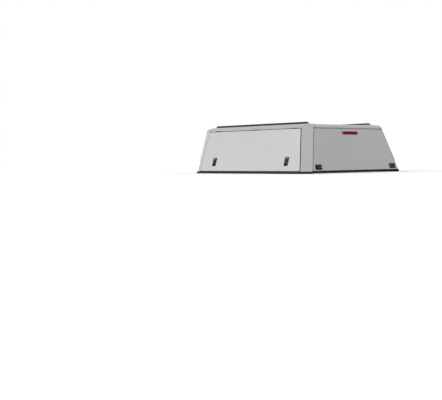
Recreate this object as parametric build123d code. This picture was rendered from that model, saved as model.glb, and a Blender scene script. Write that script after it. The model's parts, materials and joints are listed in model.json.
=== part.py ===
"""Pickup truck canopy: steel shell with two lift-up side doors and a lift-up rear door.

X is the vehicle's right, Y points forward to the cab, Z is up. The model is built with z = 0 at the
bottom edge of the doors and y = 0 at the rear door's bottom edge. It is moved at the end, so that the
origin is at the middle of the footprint, on the surface that the base seal rests on.
Left-hand pieces are mirror images of the right-hand ones.
"""
import os
from math import atan, cos, degrees, radians, sin, tan

from build123d import *

# Overall form
HALF_WIDTH = 867.0          # side plane, at the bottom edge of the doors
SIDE_LEAN_DEG = 17.98       # lean of the sides from upright, in degrees
REAR_LEAN_DEG = 14.8        # lean of the rear from upright, in degrees
LENGTH = 1912.0             # rear door's bottom edge to the front wall
CORNER_X = 101.0            # width of the rear corner facet, across the vehicle
CORNER_Y = 94.0             # width of the rear corner facet, along the vehicle
HINGE_Z = 490.0             # height of the door hinge axes
HINGE_GAP = 5.5             # door edge or roof edge to the hinge axis
ROOF_Z = 546.0              # height of the flat roof top

# Sheet metal
SHEET = 3.0                 # body panels and frames
DOOR_SHEET = 2.5            # door skins
INNER_SHEET = 2.0           # door inner panels
DOOR_PAN = 24.0             # depth of the door skin's turned edge
DOOR_DEPTH = 26.0           # outer face to inner face of a door
FRAME_DEPTH = 34.0          # outer face of the body to the door frames behind the seals
SEAL_REST_GAP = 0.3         # door's inner face to its seal

# Doors
SIDE_GAP_REAR = 9.0
SIDE_GAP_FRONT = 5.0
FRONT_POST = 54.0           # side door's front edge to the front face, at the bottom
FRONT_EDGE_DEG = 1.75       # rearward lean of that edge, in degrees
REAR_DOOR_GAP = 8.0
DOOR_CORNER_R = 12.0
FRAME_LAP = 40.0            # door edge to the edge of the clear opening
FRAME_JOINT = 0.4           # butt joint between two members of a frame
FRAME_OVERRUN = 70.0        # frame members are drawn this far past the door, then cut off level
SEAL_INSET = 16.0
SEAL_WIDTH = 12.0
FIELD_EDGE = 88.0           # door edge to the sunk fields of the inner panel
FIELD_BAR = 70.0
FIELD_SINK = 6.0
FIELD_R = 22.0
SIDE_FIELDS = 3
REAR_FIELDS = 2

# Roof
ROOF_SHOULDER = 18.0        # width of the steep edge band
ROOF_SHOULDER_RISE = 17.0
ROOF_CURVE_SIDE = 134.2     # roof edge to the flat top, at the sides
ROOF_CURVE_REAR = 131.1     # roof edge to the flat top, at the rear
CROWN_EDGE_DEG = 1.7        # slope of the curved roof where it leaves the flat top, in degrees
CROWN_SINK = 7.0            # the middle of the roof lies this much lower
CROWN_SINK_EDGE = 80.0      # edge of the flat top to the ramp down to its middle
CROWN_SINK_RAMP = 18.0
FRONT_BEVEL = 24.0
ROOF_FLANGE = 42.0          # width of the inward flange under the roof edge
RIB_COUNT = 5
RIB_MARGIN = 118.0          # ramp to the middle of the outermost rib
RIB_WIDTH = 52.0
RIB_RISE = 3.5
RIB_EDGE_DEG = 45.0
RIB_SETBACK_REAR = 88.0     # rear end of the flat top to the ribs
RIB_SETBACK_FRONT = 82.0    # front face to the ribs

# Roof rails
RAIL_INSET = 22.0           # edge of the flat top to the middle of a rail
RAIL_WIDTH = 38.0
RAIL_RISE = 21.0
RAIL_SETBACK_REAR = 6.0     # rear end of the flat top to the rails
RAIL_SETBACK_FRONT = 28.0   # front face to the rails
RAIL_END_SLOPE_REAR = 24.0
RAIL_END_SLOPE_FRONT = 31.0
TRACK_MOUTH = 11.0
TRACK_WIDTH = 20.0
TRACK_LIP = 4.0
TRACK_DEPTH = 12.0
RAIL_EDGE_R = 6.0

# Roof structure
TUBE_HEIGHT = 35.5          # height of the tubes under the roof edge
TUBE_WALL = 2.5
TUBE_END_GAP = 1.0          # tube end to the rear pillar's edge
CANT_WIDTH = 48.9           # width of a side tube, at its bottom
HEADER_WIDTH = 40.0
BOW_COUNT = 3
BOW_SETBACK_REAR = 279.0    # roof edge to the middle of the first bow
BOW_SETBACK_FRONT = 142.0   # front face to the middle of the last bow
BOW_FOOT_GAP = 2.0
BOW_WIDTH = 50.0
BOW_DEPTH = 16.0

# Base
BAND_STEP = 6.0             # base rail stands this much outside the body
BAND_TOP_Z = -7.0
BODY_TUCK = 4.5             # pillars and posts reach this far behind the base band
RAIL_FOOT_Z = -27.0
RAIL_FOOT = 4.0
BAND_SHEET = 4.0
RAIL_FOOT_WIDTH = 66.0
BASE_SEAL = 6.0
BASE_SEAL_INSET = 5.0
BASE_SEAL_WIDTH = 58.0
BASE_MOUTH_LAP = 2.0        # base corners reach this far past the rear pillars
BOLT_INSET = 44.0           # side plane at the doors' bottom edge to the clamp bolt holes
BOLT_SETBACK_REAR = 355.0
BOLT_SETBACK_FRONT = 257.0
BOLT_HOLE_R = 5.0

# Front
POST_RETURN = 70.0
POST_CORNER_R = 14.0
WINDOW_WIDTH = 1040.0
WINDOW_HEIGHT = 290.0
WINDOW_Z = 262.0
WINDOW_R = 45.0
WINDOW_SEAL = 14.0
WINDOW_SEAL_PROUD = 3.0
GLASS = 4.0
GLASS_EDGE_GAP = 1.0        # window cut-out to the glass

# Hinges
KNUCKLE_R = 4.5
PIN_R = 2.0
PIN_CLEARANCE = 0.06
KNUCKLE_GAP = 0.5
LEAF = 2.5
LEAF_GAP = 1.0              # knuckle to the leaf beside it
LEAF_WIDTH = 34.0
DOOR_LEAF_WIDTH = 20.0
SIDE_HINGE = 96.0
SIDE_HINGE_REAR = 108.5     # door's rear top corner to the middle of the first hinge
SIDE_HINGE_FRONT = 166.0    # door's front top corner to the middle of the last hinge
SIDE_HINGE_SHIFT = 18.0     # middle hinge, rearward of halfway
SIDE_HINGE_KNUCKLES = 3
REAR_HINGE_MARGIN = 40.7    # door's top corner to the end of its hinge
REAR_HINGE_KNUCKLES = 9

# Latches
LATCH_LENGTH = 108.0
LATCH_WIDTH = 62.0
LATCH_PROUD = 5.0
LATCH_R = 12.0
LATCH_EDGE_R = 2.0
BOWL_START = -24.0          # bowl's ends, along the latch from its middle
BOWL_END = 44.0
BOWL_HALF_WIDTH = 21.0
BOWL_WALL = 4.0
BOWL_DEPTH = 14.0
BOWL_R = 5.0
PADDLE_GAP = 5.0
PADDLE = 5.0
PADDLE_PROUD = 6.5
PADDLE_END = 32.0
PADDLE_R = 8.0
PIVOT_ALONG = -14.0
PIVOT_OUT = 1.0
BOSS_R = 4.0
PIVOT_BITE = 3.0            # the pivot pin's length inside the bowl wall
PIVOT_END_GAP = 0.2
BARREL_ALONG = -38.5
BARREL_R = 7.0
BARREL_PROUD = 6.5
BARREL_BACK = 12.0
KEY_SLOT = 7.0
KEY_SLOT_WIDTH = 1.6
KEY_SLOT_DEPTH = 3.0
HOLE_CLEARANCE = 0.5
BOWL_SIDE_CLEARANCE = 3.0    # skin cut-out to the bowl's long sides
SIDE_LATCH_INSET = 245.0    # door's bottom corner to the latch's middle
SIDE_LATCH_UP = 115.0       # up the slope, to the latch's middle
REAR_LATCH_INSET = 103.0    # door's bottom corner to the latch's middle
REAR_LATCH_UP = 42.0

# Latch bodies inside the doors, and their strikers. Lengths across are from the edge of the clear opening.
BODY_START = 8.0
BODY_ACROSS = 36.0
BODY_ALONG = 42.0
BODY_DEPTH = 22.0
BODY_EDGE_R = 3.0
JAW_ACROSS = 20.5           # edge of the clear opening to the middle of the jaw
JAW_WIDTH = 13.0
JAW_DEPTH = 14.0
STRIKER_R = 4.0
STRIKER_HALF = 12.0         # half the distance between the striker's legs
STRIKER_BEND_R = 6.0
STRIKER_BED_GAP = 2.0       # striker to the bottom of the jaw
STRIKER_LEG = 16.0          # middle of the striker to its bracket
BRACKET = 3.0
BRACKET_HALF = 20.0
BRACKET_FOOT = 24.0
BRACKET_SETBACK = 4.0       # bracket's web, behind the edge of the clear opening
BRACKET_REACH = 32.0        # edge of the clear opening to the end of the bracket

# Brake light and the rear door's lower seal
LAMP_LENGTH = 268.0
LAMP_HEIGHT = 30.0
LAMP_PROUD = 10.0
LAMP_EDGE_R = 4.0
LAMP_BASE_EDGE = 4.0
LAMP_BASE = 3.0
LAMP_DROP = 50.8            # door's top edge to the middle of the brake light
SWEEP_SEAL = 16.0
SWEEP_DROP = 22.0
SWEEP_SETBACK = 2.0
SWEEP_END = 14.0

# Worked-out values
SIDE_ANGLE = radians(SIDE_LEAN_DEG)
REAR_ANGLE = radians(REAR_LEAN_DEG)
SIDE_LEAN = tan(SIDE_ANGLE)
REAR_LEAN = tan(REAR_ANGLE)
ROOF_EDGE_Z = HINGE_Z + HINGE_GAP
ROOF_EDGE_X = HALF_WIDTH - SIDE_LEAN * ROOF_EDGE_Z
ROOF_EDGE_Y = REAR_LEAN * ROOF_EDGE_Z
CROWN_HALF_WIDTH = ROOF_EDGE_X - ROOF_CURVE_SIDE
CROWN_REAR = ROOF_EDGE_Y + ROOF_CURVE_REAR
SUNK_HALF_WIDTH = CROWN_HALF_WIDTH - CROWN_SINK_EDGE - CROWN_SINK_RAMP
SUNK_Z = ROOF_Z - CROWN_SINK
TUBE_BOTTOM_Z = ROOF_EDGE_Z - TUBE_HEIGHT
BODY_LOW_Z = BAND_TOP_Z - BODY_TUCK
SIDE_DOOR_TOP = HINGE_Z / cos(SIDE_ANGLE) - HINGE_GAP
SIDE_DOOR_REAR_Y = CORNER_Y + SIDE_GAP_REAR
SIDE_DOOR_FRONT_Y = LENGTH - FRONT_POST
REAR_DOOR_TOP = HINGE_Z / cos(REAR_ANGLE) - HINGE_GAP
REAR_DOOR_HALF = HALF_WIDTH - CORNER_X - REAR_DOOR_GAP
SIDE_PLANE = Plane((HALF_WIDTH, 0, 0), x_dir=(0, 1, 0), z_dir=(cos(SIDE_ANGLE), 0, sin(SIDE_ANGLE)))
REAR_PLANE = Plane((0, 0, 0), x_dir=(1, 0, 0), z_dir=(0, -cos(REAR_ANGLE), sin(REAR_ANGLE)))
UP = (0, 0, 1)
REACH = 3000.0              # larger than the model, for cutting blocks
OVERCUT = 1.0               # how far a cut runs past the surface that it opens


def side_x(z):
    """Half width of the body at height z."""
    return HALF_WIDTH - SIDE_LEAN * z


def rear_y(z):
    """Rear face of the body at height z."""
    return REAR_LEAN * z


def door_front_y(z):
    """Front edge of a side door at height z."""
    return SIDE_DOOR_FRONT_Y - tan(radians(FRONT_EDGE_DEG)) * z


def rear_door_half(v):
    """Half width of the rear door at v up its slope."""
    return REAR_DOOR_HALF - SIDE_LEAN * cos(REAR_ANGLE) * v


def polygon(points):
    """Flat face through the points."""
    return make_face(Polyline(*points, close=True))


def plate(plane, face, near, far):
    """Sheet between two depths behind a plane, with the outline drawn on that plane."""
    return plane.location * Pos(0, 0, -far) * extrude(face, far - near, dir=UP)


def prism(face, low, high):
    """Upright block from a face drawn in plan."""
    return Pos(0, 0, low) * extrude(face, high - low, dir=UP)


def along_y(points, start, end):
    """Bar along Y from a section drawn with x across and z up."""
    section = Plane((0, start, 0), x_dir=(1, 0, 0), z_dir=(0, -1, 0)) * polygon(points)
    return extrude(section, end - start, dir=(0, 1, 0))


def slab(low, high):
    """Everything between two heights."""
    standing = (Align.CENTER, Align.CENTER, Align.MIN)
    return Pos(0, 0, low) * Box(2 * REACH, 2 * REACH, high - low, align=standing)


def left_of(shape):
    """Mirror image on the other side of the vehicle."""
    return mirror(shape, about=Plane.YZ)


# Plan and roof envelope


def plan_points(z, corner_inset=0.0):
    """Body outline at height z, with the rear corner facets moved inward by corner_inset."""
    side, rear = side_x(z), rear_y(z)
    facet = (CORNER_X**2 + CORNER_Y**2) ** 0.5
    shift_x = corner_inset * facet / CORNER_Y
    shift_y = corner_inset * facet / CORNER_X
    return [
        (side, LENGTH),
        (side, rear + CORNER_Y + shift_y),
        (side - CORNER_X - shift_x, rear),
        (-side + CORNER_X + shift_x, rear),
        (-side, rear + CORNER_Y + shift_y),
        (-side, LENGTH),
    ]


def plan_block(low, high, corner_inset=0.0):
    """Body volume between two heights, with its leaning sides, rear and corner facets."""
    bottom = Pos(0, 0, low) * polygon(plan_points(low, corner_inset))
    top = Pos(0, 0, high) * polygon(plan_points(high, corner_inset))
    return loft([bottom, top], ruled=True)


def roof_cross_profile(inset):
    """Half section of the roof across the vehicle, as a closed face, drawn with x across."""
    edge = (ROOF_EDGE_X, ROOF_EDGE_Z)
    shoulder = (ROOF_EDGE_X - ROOF_SHOULDER, ROOF_EDGE_Z + ROOF_SHOULDER_RISE)
    crown = (CROWN_HALF_WIDTH, ROOF_Z)
    ramp = (CROWN_HALF_WIDTH - CROWN_SINK_EDGE, ROOF_Z)
    sunk = (SUNK_HALF_WIDTH, SUNK_Z)
    half = [
        Line(edge, shoulder),
        TangentArc(crown, shoulder, tangent=(1, -tan(radians(CROWN_EDGE_DEG)))),
        Line(crown, ramp),
        Line(ramp, sunk),
    ]
    other = [mirror(line, about=Plane.YZ) for line in half]
    closing = [Line((-SUNK_HALF_WIDTH, SUNK_Z), sunk), Line((-ROOF_EDGE_X, ROOF_EDGE_Z), edge)]
    face = make_face(half + other + closing)
    return offset(face, -inset, kind=Kind.INTERSECTION) if inset else face


def roof_long_profile(inset):
    """Section of the roof along the vehicle, as a closed face, drawn with y across."""
    edge = (ROOF_EDGE_Y, ROOF_EDGE_Z)
    shoulder = (ROOF_EDGE_Y + ROOF_SHOULDER, ROOF_EDGE_Z + ROOF_SHOULDER_RISE)
    crown = (CROWN_REAR, ROOF_Z)
    front = [(LENGTH - FRONT_BEVEL, ROOF_Z), (LENGTH, ROOF_Z - FRONT_BEVEL), (LENGTH, ROOF_EDGE_Z)]
    outline = [
        Line(edge, shoulder),
        TangentArc(crown, shoulder, tangent=(-1, -tan(radians(CROWN_EDGE_DEG)))),
        Polyline(crown, *front, edge),
    ]
    face = make_face(outline)
    return offset(face, -inset, kind=Kind.INTERSECTION) if inset else face


def roof_envelope(inset):
    """Roof volume: the cross section run along the vehicle, cut by the long section."""
    across = Plane((0, 0, 0), x_dir=(1, 0, 0), z_dir=(0, -1, 0)) * roof_cross_profile(inset)
    lengthways = Plane((-HALF_WIDTH, 0, 0), x_dir=(0, 1, 0), z_dir=(1, 0, 0)) * roof_long_profile(inset)
    return extrude(across, LENGTH, dir=(0, 1, 0)) & extrude(lengthways, 2 * HALF_WIDTH, dir=(1, 0, 0))


ROOF_OUTER = roof_envelope(0.0)


def roof_panel():
    """Roof pressing: thin shell, an inward flange round its edge, and shallow stiffening ribs."""
    low, high = ROOF_EDGE_Z - SHEET, ROOF_EDGE_Z + 2 * SHEET
    hole_edge = ROOF_EDGE_X - ROOF_FLANGE
    hole_rear = ROOF_EDGE_Y + ROOF_FLANGE
    hole_front = LENGTH - ROOF_FLANGE
    hole = Pos(0, (hole_rear + hole_front) / 2) * Rectangle(2 * hole_edge, hole_front - hole_rear)
    hole -= corner_cuts(ROOF_EDGE_Z, ROOF_FLANGE)
    shell = ROOF_OUTER - roof_envelope(SHEET) - prism(hole, low, high)
    panel = shell & plan_block(low, ROOF_Z + SHEET, SHEET)
    return panel + [roof_rib(i) for i in range(RIB_COUNT)]


def corner_cuts(z, inset):
    """Plan triangles outside the inset corner facets, at height z."""
    side, rear = side_x(z), rear_y(z)
    facet = (CORNER_X**2 + CORNER_Y**2) ** 0.5
    reach_x = CORNER_X + inset * facet / CORNER_Y
    reach_y = CORNER_Y + inset * facet / CORNER_X
    right = polygon([(side, rear), (side, rear + reach_y), (side - reach_x, rear)])
    return [right, mirror(right, about=Plane.YZ)]


def roof_rib(index):
    """One shallow pressed rib of the roof's sunk middle."""
    pitch = 2 * (SUNK_HALF_WIDTH - RIB_MARGIN) / (RIB_COUNT - 1)
    x = (index - (RIB_COUNT - 1) / 2) * pitch
    start = CROWN_REAR + RIB_SETBACK_REAR
    end = LENGTH - RIB_SETBACK_FRONT
    outline = Pos(x, (start + end) / 2) * SlotOverall(end - start, RIB_WIDTH, rotation=90)
    return Pos(0, 0, SUNK_Z) * extrude(outline, RIB_RISE, dir=UP, taper=RIB_EDGE_DEG)


def roof_rail():
    """Right-hand roof rail: low bar with slanted ends and a track slot along its top."""
    middle = CROWN_HALF_WIDTH - RAIL_INSET
    rear, front = CROWN_REAR + RAIL_SETBACK_REAR, LENGTH - RAIL_SETBACK_FRONT
    top = ROOF_Z + RAIL_RISE
    profile = [
        (rear, ROOF_Z),
        (rear + RAIL_END_SLOPE_REAR, top),
        (front - RAIL_END_SLOPE_FRONT, top),
        (front, ROOF_Z),
    ]
    section = Plane((middle - RAIL_WIDTH / 2, 0, 0), x_dir=(0, 1, 0), z_dir=(1, 0, 0)) * polygon(profile)
    bar = extrude(section, RAIL_WIDTH, dir=(1, 0, 0))
    upper = bar.edges().filter_by(Axis.Y).sort_by(Axis.Z)[-2:]
    bar = fillet(upper, RAIL_EDGE_R)
    mouth = TRACK_MOUTH / 2
    half = TRACK_WIDTH / 2
    lip = top - TRACK_LIP
    floor = top - TRACK_DEPTH
    right = [(half, floor), (half, lip), (mouth, lip), (mouth, top + OVERCUT)]
    track = right + [(-x, z) for x, z in reversed(right)]
    return bar - along_y([(middle + x, z) for x, z in track], 0, LENGTH)


def cant_rail():
    """Right-hand roof side tube, with its outboard face parallel to the side."""
    back = (FRAME_DEPTH + SHEET) / cos(SIDE_ANGLE)
    inner = cant_inner_x()
    outer = [
        (inner, TUBE_BOTTOM_Z),
        (side_x(TUBE_BOTTOM_Z) - back, TUBE_BOTTOM_Z),
        (ROOF_EDGE_X - back, ROOF_EDGE_Z),
        (inner, ROOF_EDGE_Z),
    ]
    start = ROOF_EDGE_Y + CORNER_Y + TUBE_END_GAP
    return tube_along_y(outer, start, LENGTH - SHEET)


def cant_inner_x():
    """Inboard face of the right-hand roof side tube."""
    return side_x(TUBE_BOTTOM_Z) - (FRAME_DEPTH + SHEET) / cos(SIDE_ANGLE) - CANT_WIDTH


def tube_along_y(outer, start, end):
    """Hollow bar along Y."""
    section = Plane((0, start, 0), x_dir=(1, 0, 0), z_dir=(0, -1, 0))
    face = polygon(outer)
    ring = face - offset(face, -TUBE_WALL, kind=Kind.INTERSECTION)
    return extrude(section * ring, end - start, dir=(0, 1, 0))


def rear_header():
    """Roof cross tube over the rear door."""
    back = (FRAME_DEPTH + SHEET) / cos(REAR_ANGLE)
    inner = ROOF_EDGE_Y + back + HEADER_WIDTH
    outer = [
        (rear_y(TUBE_BOTTOM_Z) + back, TUBE_BOTTOM_Z),
        (inner, TUBE_BOTTOM_Z),
        (inner, ROOF_EDGE_Z),
        (ROOF_EDGE_Y + back, ROOF_EDGE_Z),
    ]
    half = ROOF_EDGE_X - CORNER_X - TUBE_END_GAP
    face = polygon(outer)
    ring = face - offset(face, -TUBE_WALL, kind=Kind.INTERSECTION)
    section = Plane((-half, 0, 0), x_dir=(0, 1, 0), z_dir=(1, 0, 0)) * ring
    return extrude(section, 2 * half, dir=(1, 0, 0))


def roof_bows():
    """Channel bows across the roof, standing on the side tubes."""
    crown = SUNK_Z - SHEET
    foot_out = ROOF_EDGE_X - ROOF_FLANGE - BOW_FOOT_GAP
    foot_in = cant_inner_x() + BOW_FOOT_GAP
    bend = SUNK_HALF_WIDTH - CROWN_SINK_RAMP
    right = [
        (bend - BOW_DEPTH / 2, crown - BOW_DEPTH),
        (foot_in - BOW_DEPTH / 2, ROOF_EDGE_Z),
        (foot_out, ROOF_EDGE_Z),
        (foot_out, ROOF_EDGE_Z + SHEET),
        (foot_in, ROOF_EDGE_Z + SHEET),
        (bend, crown),
    ]
    outline = right + [(-x, z) for x, z in reversed(right)]
    top_half, mouth_half = bend - 2 * SHEET, bend - BOW_DEPTH
    mouth_z = crown - BOW_DEPTH - SHEET
    cavity_top = crown - SHEET
    cavity = [(top_half, cavity_top), (-top_half, cavity_top), (-mouth_half, mouth_z), (mouth_half, mouth_z)]
    bows = []
    first, last = ROOF_EDGE_Y + BOW_SETBACK_REAR, LENGTH - BOW_SETBACK_FRONT
    for i in range(BOW_COUNT):
        y = first + (last - first) * i / (BOW_COUNT - 1)
        bow = along_y(outline, y - BOW_WIDTH / 2, y + BOW_WIDTH / 2)
        bows.append(bow - along_y(cavity, y - BOW_WIDTH / 2 + SHEET, y + BOW_WIDTH / 2 - SHEET))
    return bows


# Body sides


def rear_pillar():
    """Right-hand rear corner: facet with turned door edges, and its arched top under the roof."""
    back_x = (FRAME_DEPTH + SHEET) / cos(SIDE_ANGLE)
    back_y = (FRAME_DEPTH + SHEET) / cos(REAR_ANGLE)

    def section(z):
        side, rear = side_x(z), rear_y(z)
        inner_x, inner_y = facet_inner(side, rear)
        return Pos(0, 0, z) * polygon([
            (side - back_x, rear + CORNER_Y),
            (side, rear + CORNER_Y),
            (side - CORNER_X, rear),
            (side - CORNER_X, rear + back_y),
            (side - CORNER_X + SHEET, rear + back_y),
            (side - CORNER_X + SHEET, inner_y(side - CORNER_X + SHEET)),
            (inner_x(rear + CORNER_Y - SHEET), rear + CORNER_Y - SHEET),
            (side - back_x, rear + CORNER_Y - SHEET),
        ])

    lower = loft([section(BODY_LOW_Z), section(ROOF_EDGE_Z)], ruled=True)
    upper_low, upper_high = ROOF_EDGE_Z, ROOF_Z + SHEET
    facet_plate = plan_block(upper_low, upper_high) - plan_block(upper_low, upper_high, SHEET)
    right_half = Box(REACH, REACH, REACH, align=(Align.MIN, Align.CENTER, Align.CENTER))
    return lower + (facet_plate & ROOF_OUTER & right_half)


def facet_inner(side, rear):
    """Lines of the facet's inner face: x for a given y, and y for a given x."""
    facet = (CORNER_X**2 + CORNER_Y**2) ** 0.5
    shift_y = SHEET * facet / CORNER_X

    def inner_y(x):
        return rear + shift_y + CORNER_Y * (x - side + CORNER_X) / CORNER_X

    def inner_x(y):
        return side - CORNER_X + CORNER_X * (y - rear - shift_y) / CORNER_Y

    return inner_x, inner_y


def front_post():
    """Right-hand front corner: jamb of the side door, side face and front face."""
    back_x = (FRAME_DEPTH + SHEET) / cos(SIDE_ANGLE)

    def section(z):
        side, jamb = side_x(z), door_front_y(z) + SIDE_GAP_FRONT
        outline = polygon([
            (side - back_x, jamb),
            (side, jamb),
            (side, LENGTH),
            (side - POST_RETURN, LENGTH),
            (side - POST_RETURN, LENGTH - SHEET),
            (side - SHEET, LENGTH - SHEET),
            (side - SHEET, jamb + SHEET),
            (side - back_x, jamb + SHEET),
        ])
        outer = outline.vertices().sort_by_distance((side, LENGTH, 0))[0]
        outline = fillet(outer, POST_CORNER_R)
        inner = outline.vertices().sort_by_distance((side - SHEET, LENGTH - SHEET, 0))[0]
        return Pos(0, 0, z) * fillet(inner, POST_CORNER_R - SHEET)

    return loft([section(BODY_LOW_Z), section(ROOF_EDGE_Z)], ruled=True)


def window_outline(grow):
    """Front window's outline, drawn with x across and z up."""
    width, height = WINDOW_WIDTH + 2 * grow, WINDOW_HEIGHT + 2 * grow
    return Pos(0, WINDOW_Z) * RectangleRounded(width, height, WINDOW_R + grow)


FRONT_PLANE = Plane((0, LENGTH, 0), x_dir=(-1, 0, 0), z_dir=(0, 1, 0))


def front_wall():
    """Front panel between the posts, cut through for the window."""
    low = RAIL_FOOT_Z + RAIL_FOOT
    bottom, top = side_x(low) - POST_RETURN, ROOF_EDGE_X - POST_RETURN
    outline = polygon([(-bottom, low), (bottom, low), (top, ROOF_EDGE_Z), (-top, ROOF_EDGE_Z)])
    return plate(FRONT_PLANE, outline - window_outline(0), 0, SHEET)


def front_window_seal():
    """Rubber frame round the front window, on both faces of the wall, with the glass in its groove."""
    groove = window_outline(0) - window_outline(-WINDOW_SEAL / 2)
    face_ring = window_outline(WINDOW_SEAL / 2) - window_outline(-WINDOW_SEAL / 2)
    seal = plate(FRONT_PLANE, groove, 0, SHEET)
    seal += plate(FRONT_PLANE, face_ring, -WINDOW_SEAL_PROUD, 0)
    seal += plate(FRONT_PLANE, face_ring, SHEET, SHEET + GLASS + WINDOW_SEAL_PROUD)
    return seal - front_window_glass()


def front_window_glass():
    """Fixed glass of the front window."""
    return plate(FRONT_PLANE, window_outline(-GLASS_EDGE_GAP), SHEET, SHEET + GLASS)


def side_door_outline():
    """Side door's outline on the side plane, with y across and the slope upward."""
    top_z = SIDE_DOOR_TOP * cos(SIDE_ANGLE)
    return polygon([
        (SIDE_DOOR_REAR_Y, 0),
        (SIDE_DOOR_FRONT_Y, 0),
        (door_front_y(top_z), SIDE_DOOR_TOP),
        (SIDE_DOOR_REAR_Y + rear_y(top_z), SIDE_DOOR_TOP),
    ])


def rear_door_outline():
    """Rear door's outline on the rear plane, with x across and the slope upward."""
    top_half = rear_door_half(REAR_DOOR_TOP)
    return polygon([(-REAR_DOOR_HALF, 0), (REAR_DOOR_HALF, 0), (top_half, REAR_DOOR_TOP),
                    (-top_half, REAR_DOOR_TOP)])


def cut_members(plane, ring, cuts):
    """Frame ring split into straight members by narrow joints."""
    body = plate(plane, ring, FRAME_DEPTH, FRAME_DEPTH + SHEET)
    for cut in cuts:
        body -= plate(plane, cut, FRAME_DEPTH - SHEET, FRAME_DEPTH + 2 * SHEET)
    return body & slab(RAIL_FOOT_Z + RAIL_FOOT, ROOF_EDGE_Z)


def side_frame():
    """Four flat members round the right-hand door opening, behind the door's edge."""
    low, high = -FRAME_OVERRUN, SIDE_DOOR_TOP + FRAME_OVERRUN
    opening = offset(side_door_outline(), -FRAME_LAP, kind=Kind.INTERSECTION)

    def corner(v, is_rear):
        z = v * cos(SIDE_ANGLE)
        return (CORNER_Y + rear_y(z), v) if is_rear else (door_front_y(z) + SIDE_GAP_FRONT, v)

    ring = polygon([corner(low, True), corner(low, False), corner(high, False), corner(high, True)]) - opening
    bounds = opening.bounding_box()
    sill = Pos(LENGTH / 2, bounds.min.Y) * Rectangle(2 * LENGTH, FRAME_JOINT)
    head = Pos(LENGTH / 2, bounds.max.Y) * Rectangle(2 * LENGTH, FRAME_JOINT)
    return cut_members(SIDE_PLANE, ring, [sill, head])


def rear_frame():
    """Header and two jambs round the rear door opening, behind the door's edge."""
    high = REAR_DOOR_TOP + FRAME_OVERRUN
    head = REAR_DOOR_TOP - FRAME_LAP

    def symmetric(low, top, inset):
        bottom_half, top_half = rear_door_half(low) - inset, rear_door_half(top) - inset
        return polygon([(-bottom_half, low), (bottom_half, low), (top_half, top), (-top_half, top)])

    ring = symmetric(0, high, -REAR_DOOR_GAP) - symmetric(-FRAME_LAP, head, FRAME_LAP)
    joint = Pos(0, head) * Rectangle(2 * HALF_WIDTH, FRAME_JOINT)
    return cut_members(REAR_PLANE, ring, [joint])


def seal_ring(plane, outline):
    """Rubber seal on a door frame, just clear of the closed door."""
    outer = offset(outline, -SEAL_INSET, kind=Kind.INTERSECTION)
    ring = outer - offset(outer, -SEAL_WIDTH, kind=Kind.INTERSECTION)
    return plate(plane, ring, DOOR_DEPTH + SEAL_REST_GAP, FRAME_DEPTH)


def side_seal():
    """Right-hand door seal."""
    return seal_ring(SIDE_PLANE, side_door_outline())


def rear_seal():
    """Rear door seal on the header and jambs, open at the bottom."""
    ring = seal_ring(REAR_PLANE, rear_door_outline())
    return ring & slab(2 * FRAME_LAP, ROOF_EDGE_Z)


# Doors


def door_skin(plane, outline, holes):
    """Outer skin with its edges turned inward, and cut-outs for the latches."""
    outline = fillet(outline.vertices(), DOOR_CORNER_R)
    pan = plate(plane, outline, 0, DOOR_PAN)
    pan -= plate(plane, offset(outline, -DOOR_SHEET), DOOR_SHEET, DOOR_PAN)
    for hole in holes:
        pan -= plate(plane, hole, -OVERCUT, DOOR_SHEET + OVERCUT)
    return pan


def door_inner_panel(plane, outline, fields):
    """Inner pressing with sunk fields, nested in the skin's turned edge."""
    outline = fillet(outline.vertices(), DOOR_CORNER_R)
    outer = offset(outline, -DOOR_SHEET)
    front = DOOR_DEPTH - FIELD_SINK - INNER_SHEET
    body = plate(plane, outer, front, DOOR_DEPTH)
    back = offset(outer, -INNER_SHEET)
    for field in fields:
        body -= plate(plane, field, DOOR_DEPTH - FIELD_SINK, DOOR_DEPTH)
        back -= offset(field, INNER_SHEET)
    return body - plate(plane, back, front, DOOR_DEPTH - INNER_SHEET)


def door_fields(outline, count):
    """Sunk fields of an inner panel, side by side with upright bars between them."""
    inner = offset(outline, -FIELD_EDGE, kind=Kind.INTERSECTION)
    box = inner.bounding_box()
    pitch = (box.max.X - box.min.X + FIELD_BAR) / count
    fields = []
    for i in range(count):
        start = box.min.X + i * pitch
        middle = start + (pitch - FIELD_BAR) / 2
        strip = Pos(middle, (box.min.Y + box.max.Y) / 2) * Rectangle(pitch - FIELD_BAR, box.max.Y - box.min.Y)
        field = inner & strip
        fields.append(fillet(field.vertices(), FIELD_R))
    return fields


# Hinges


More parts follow.
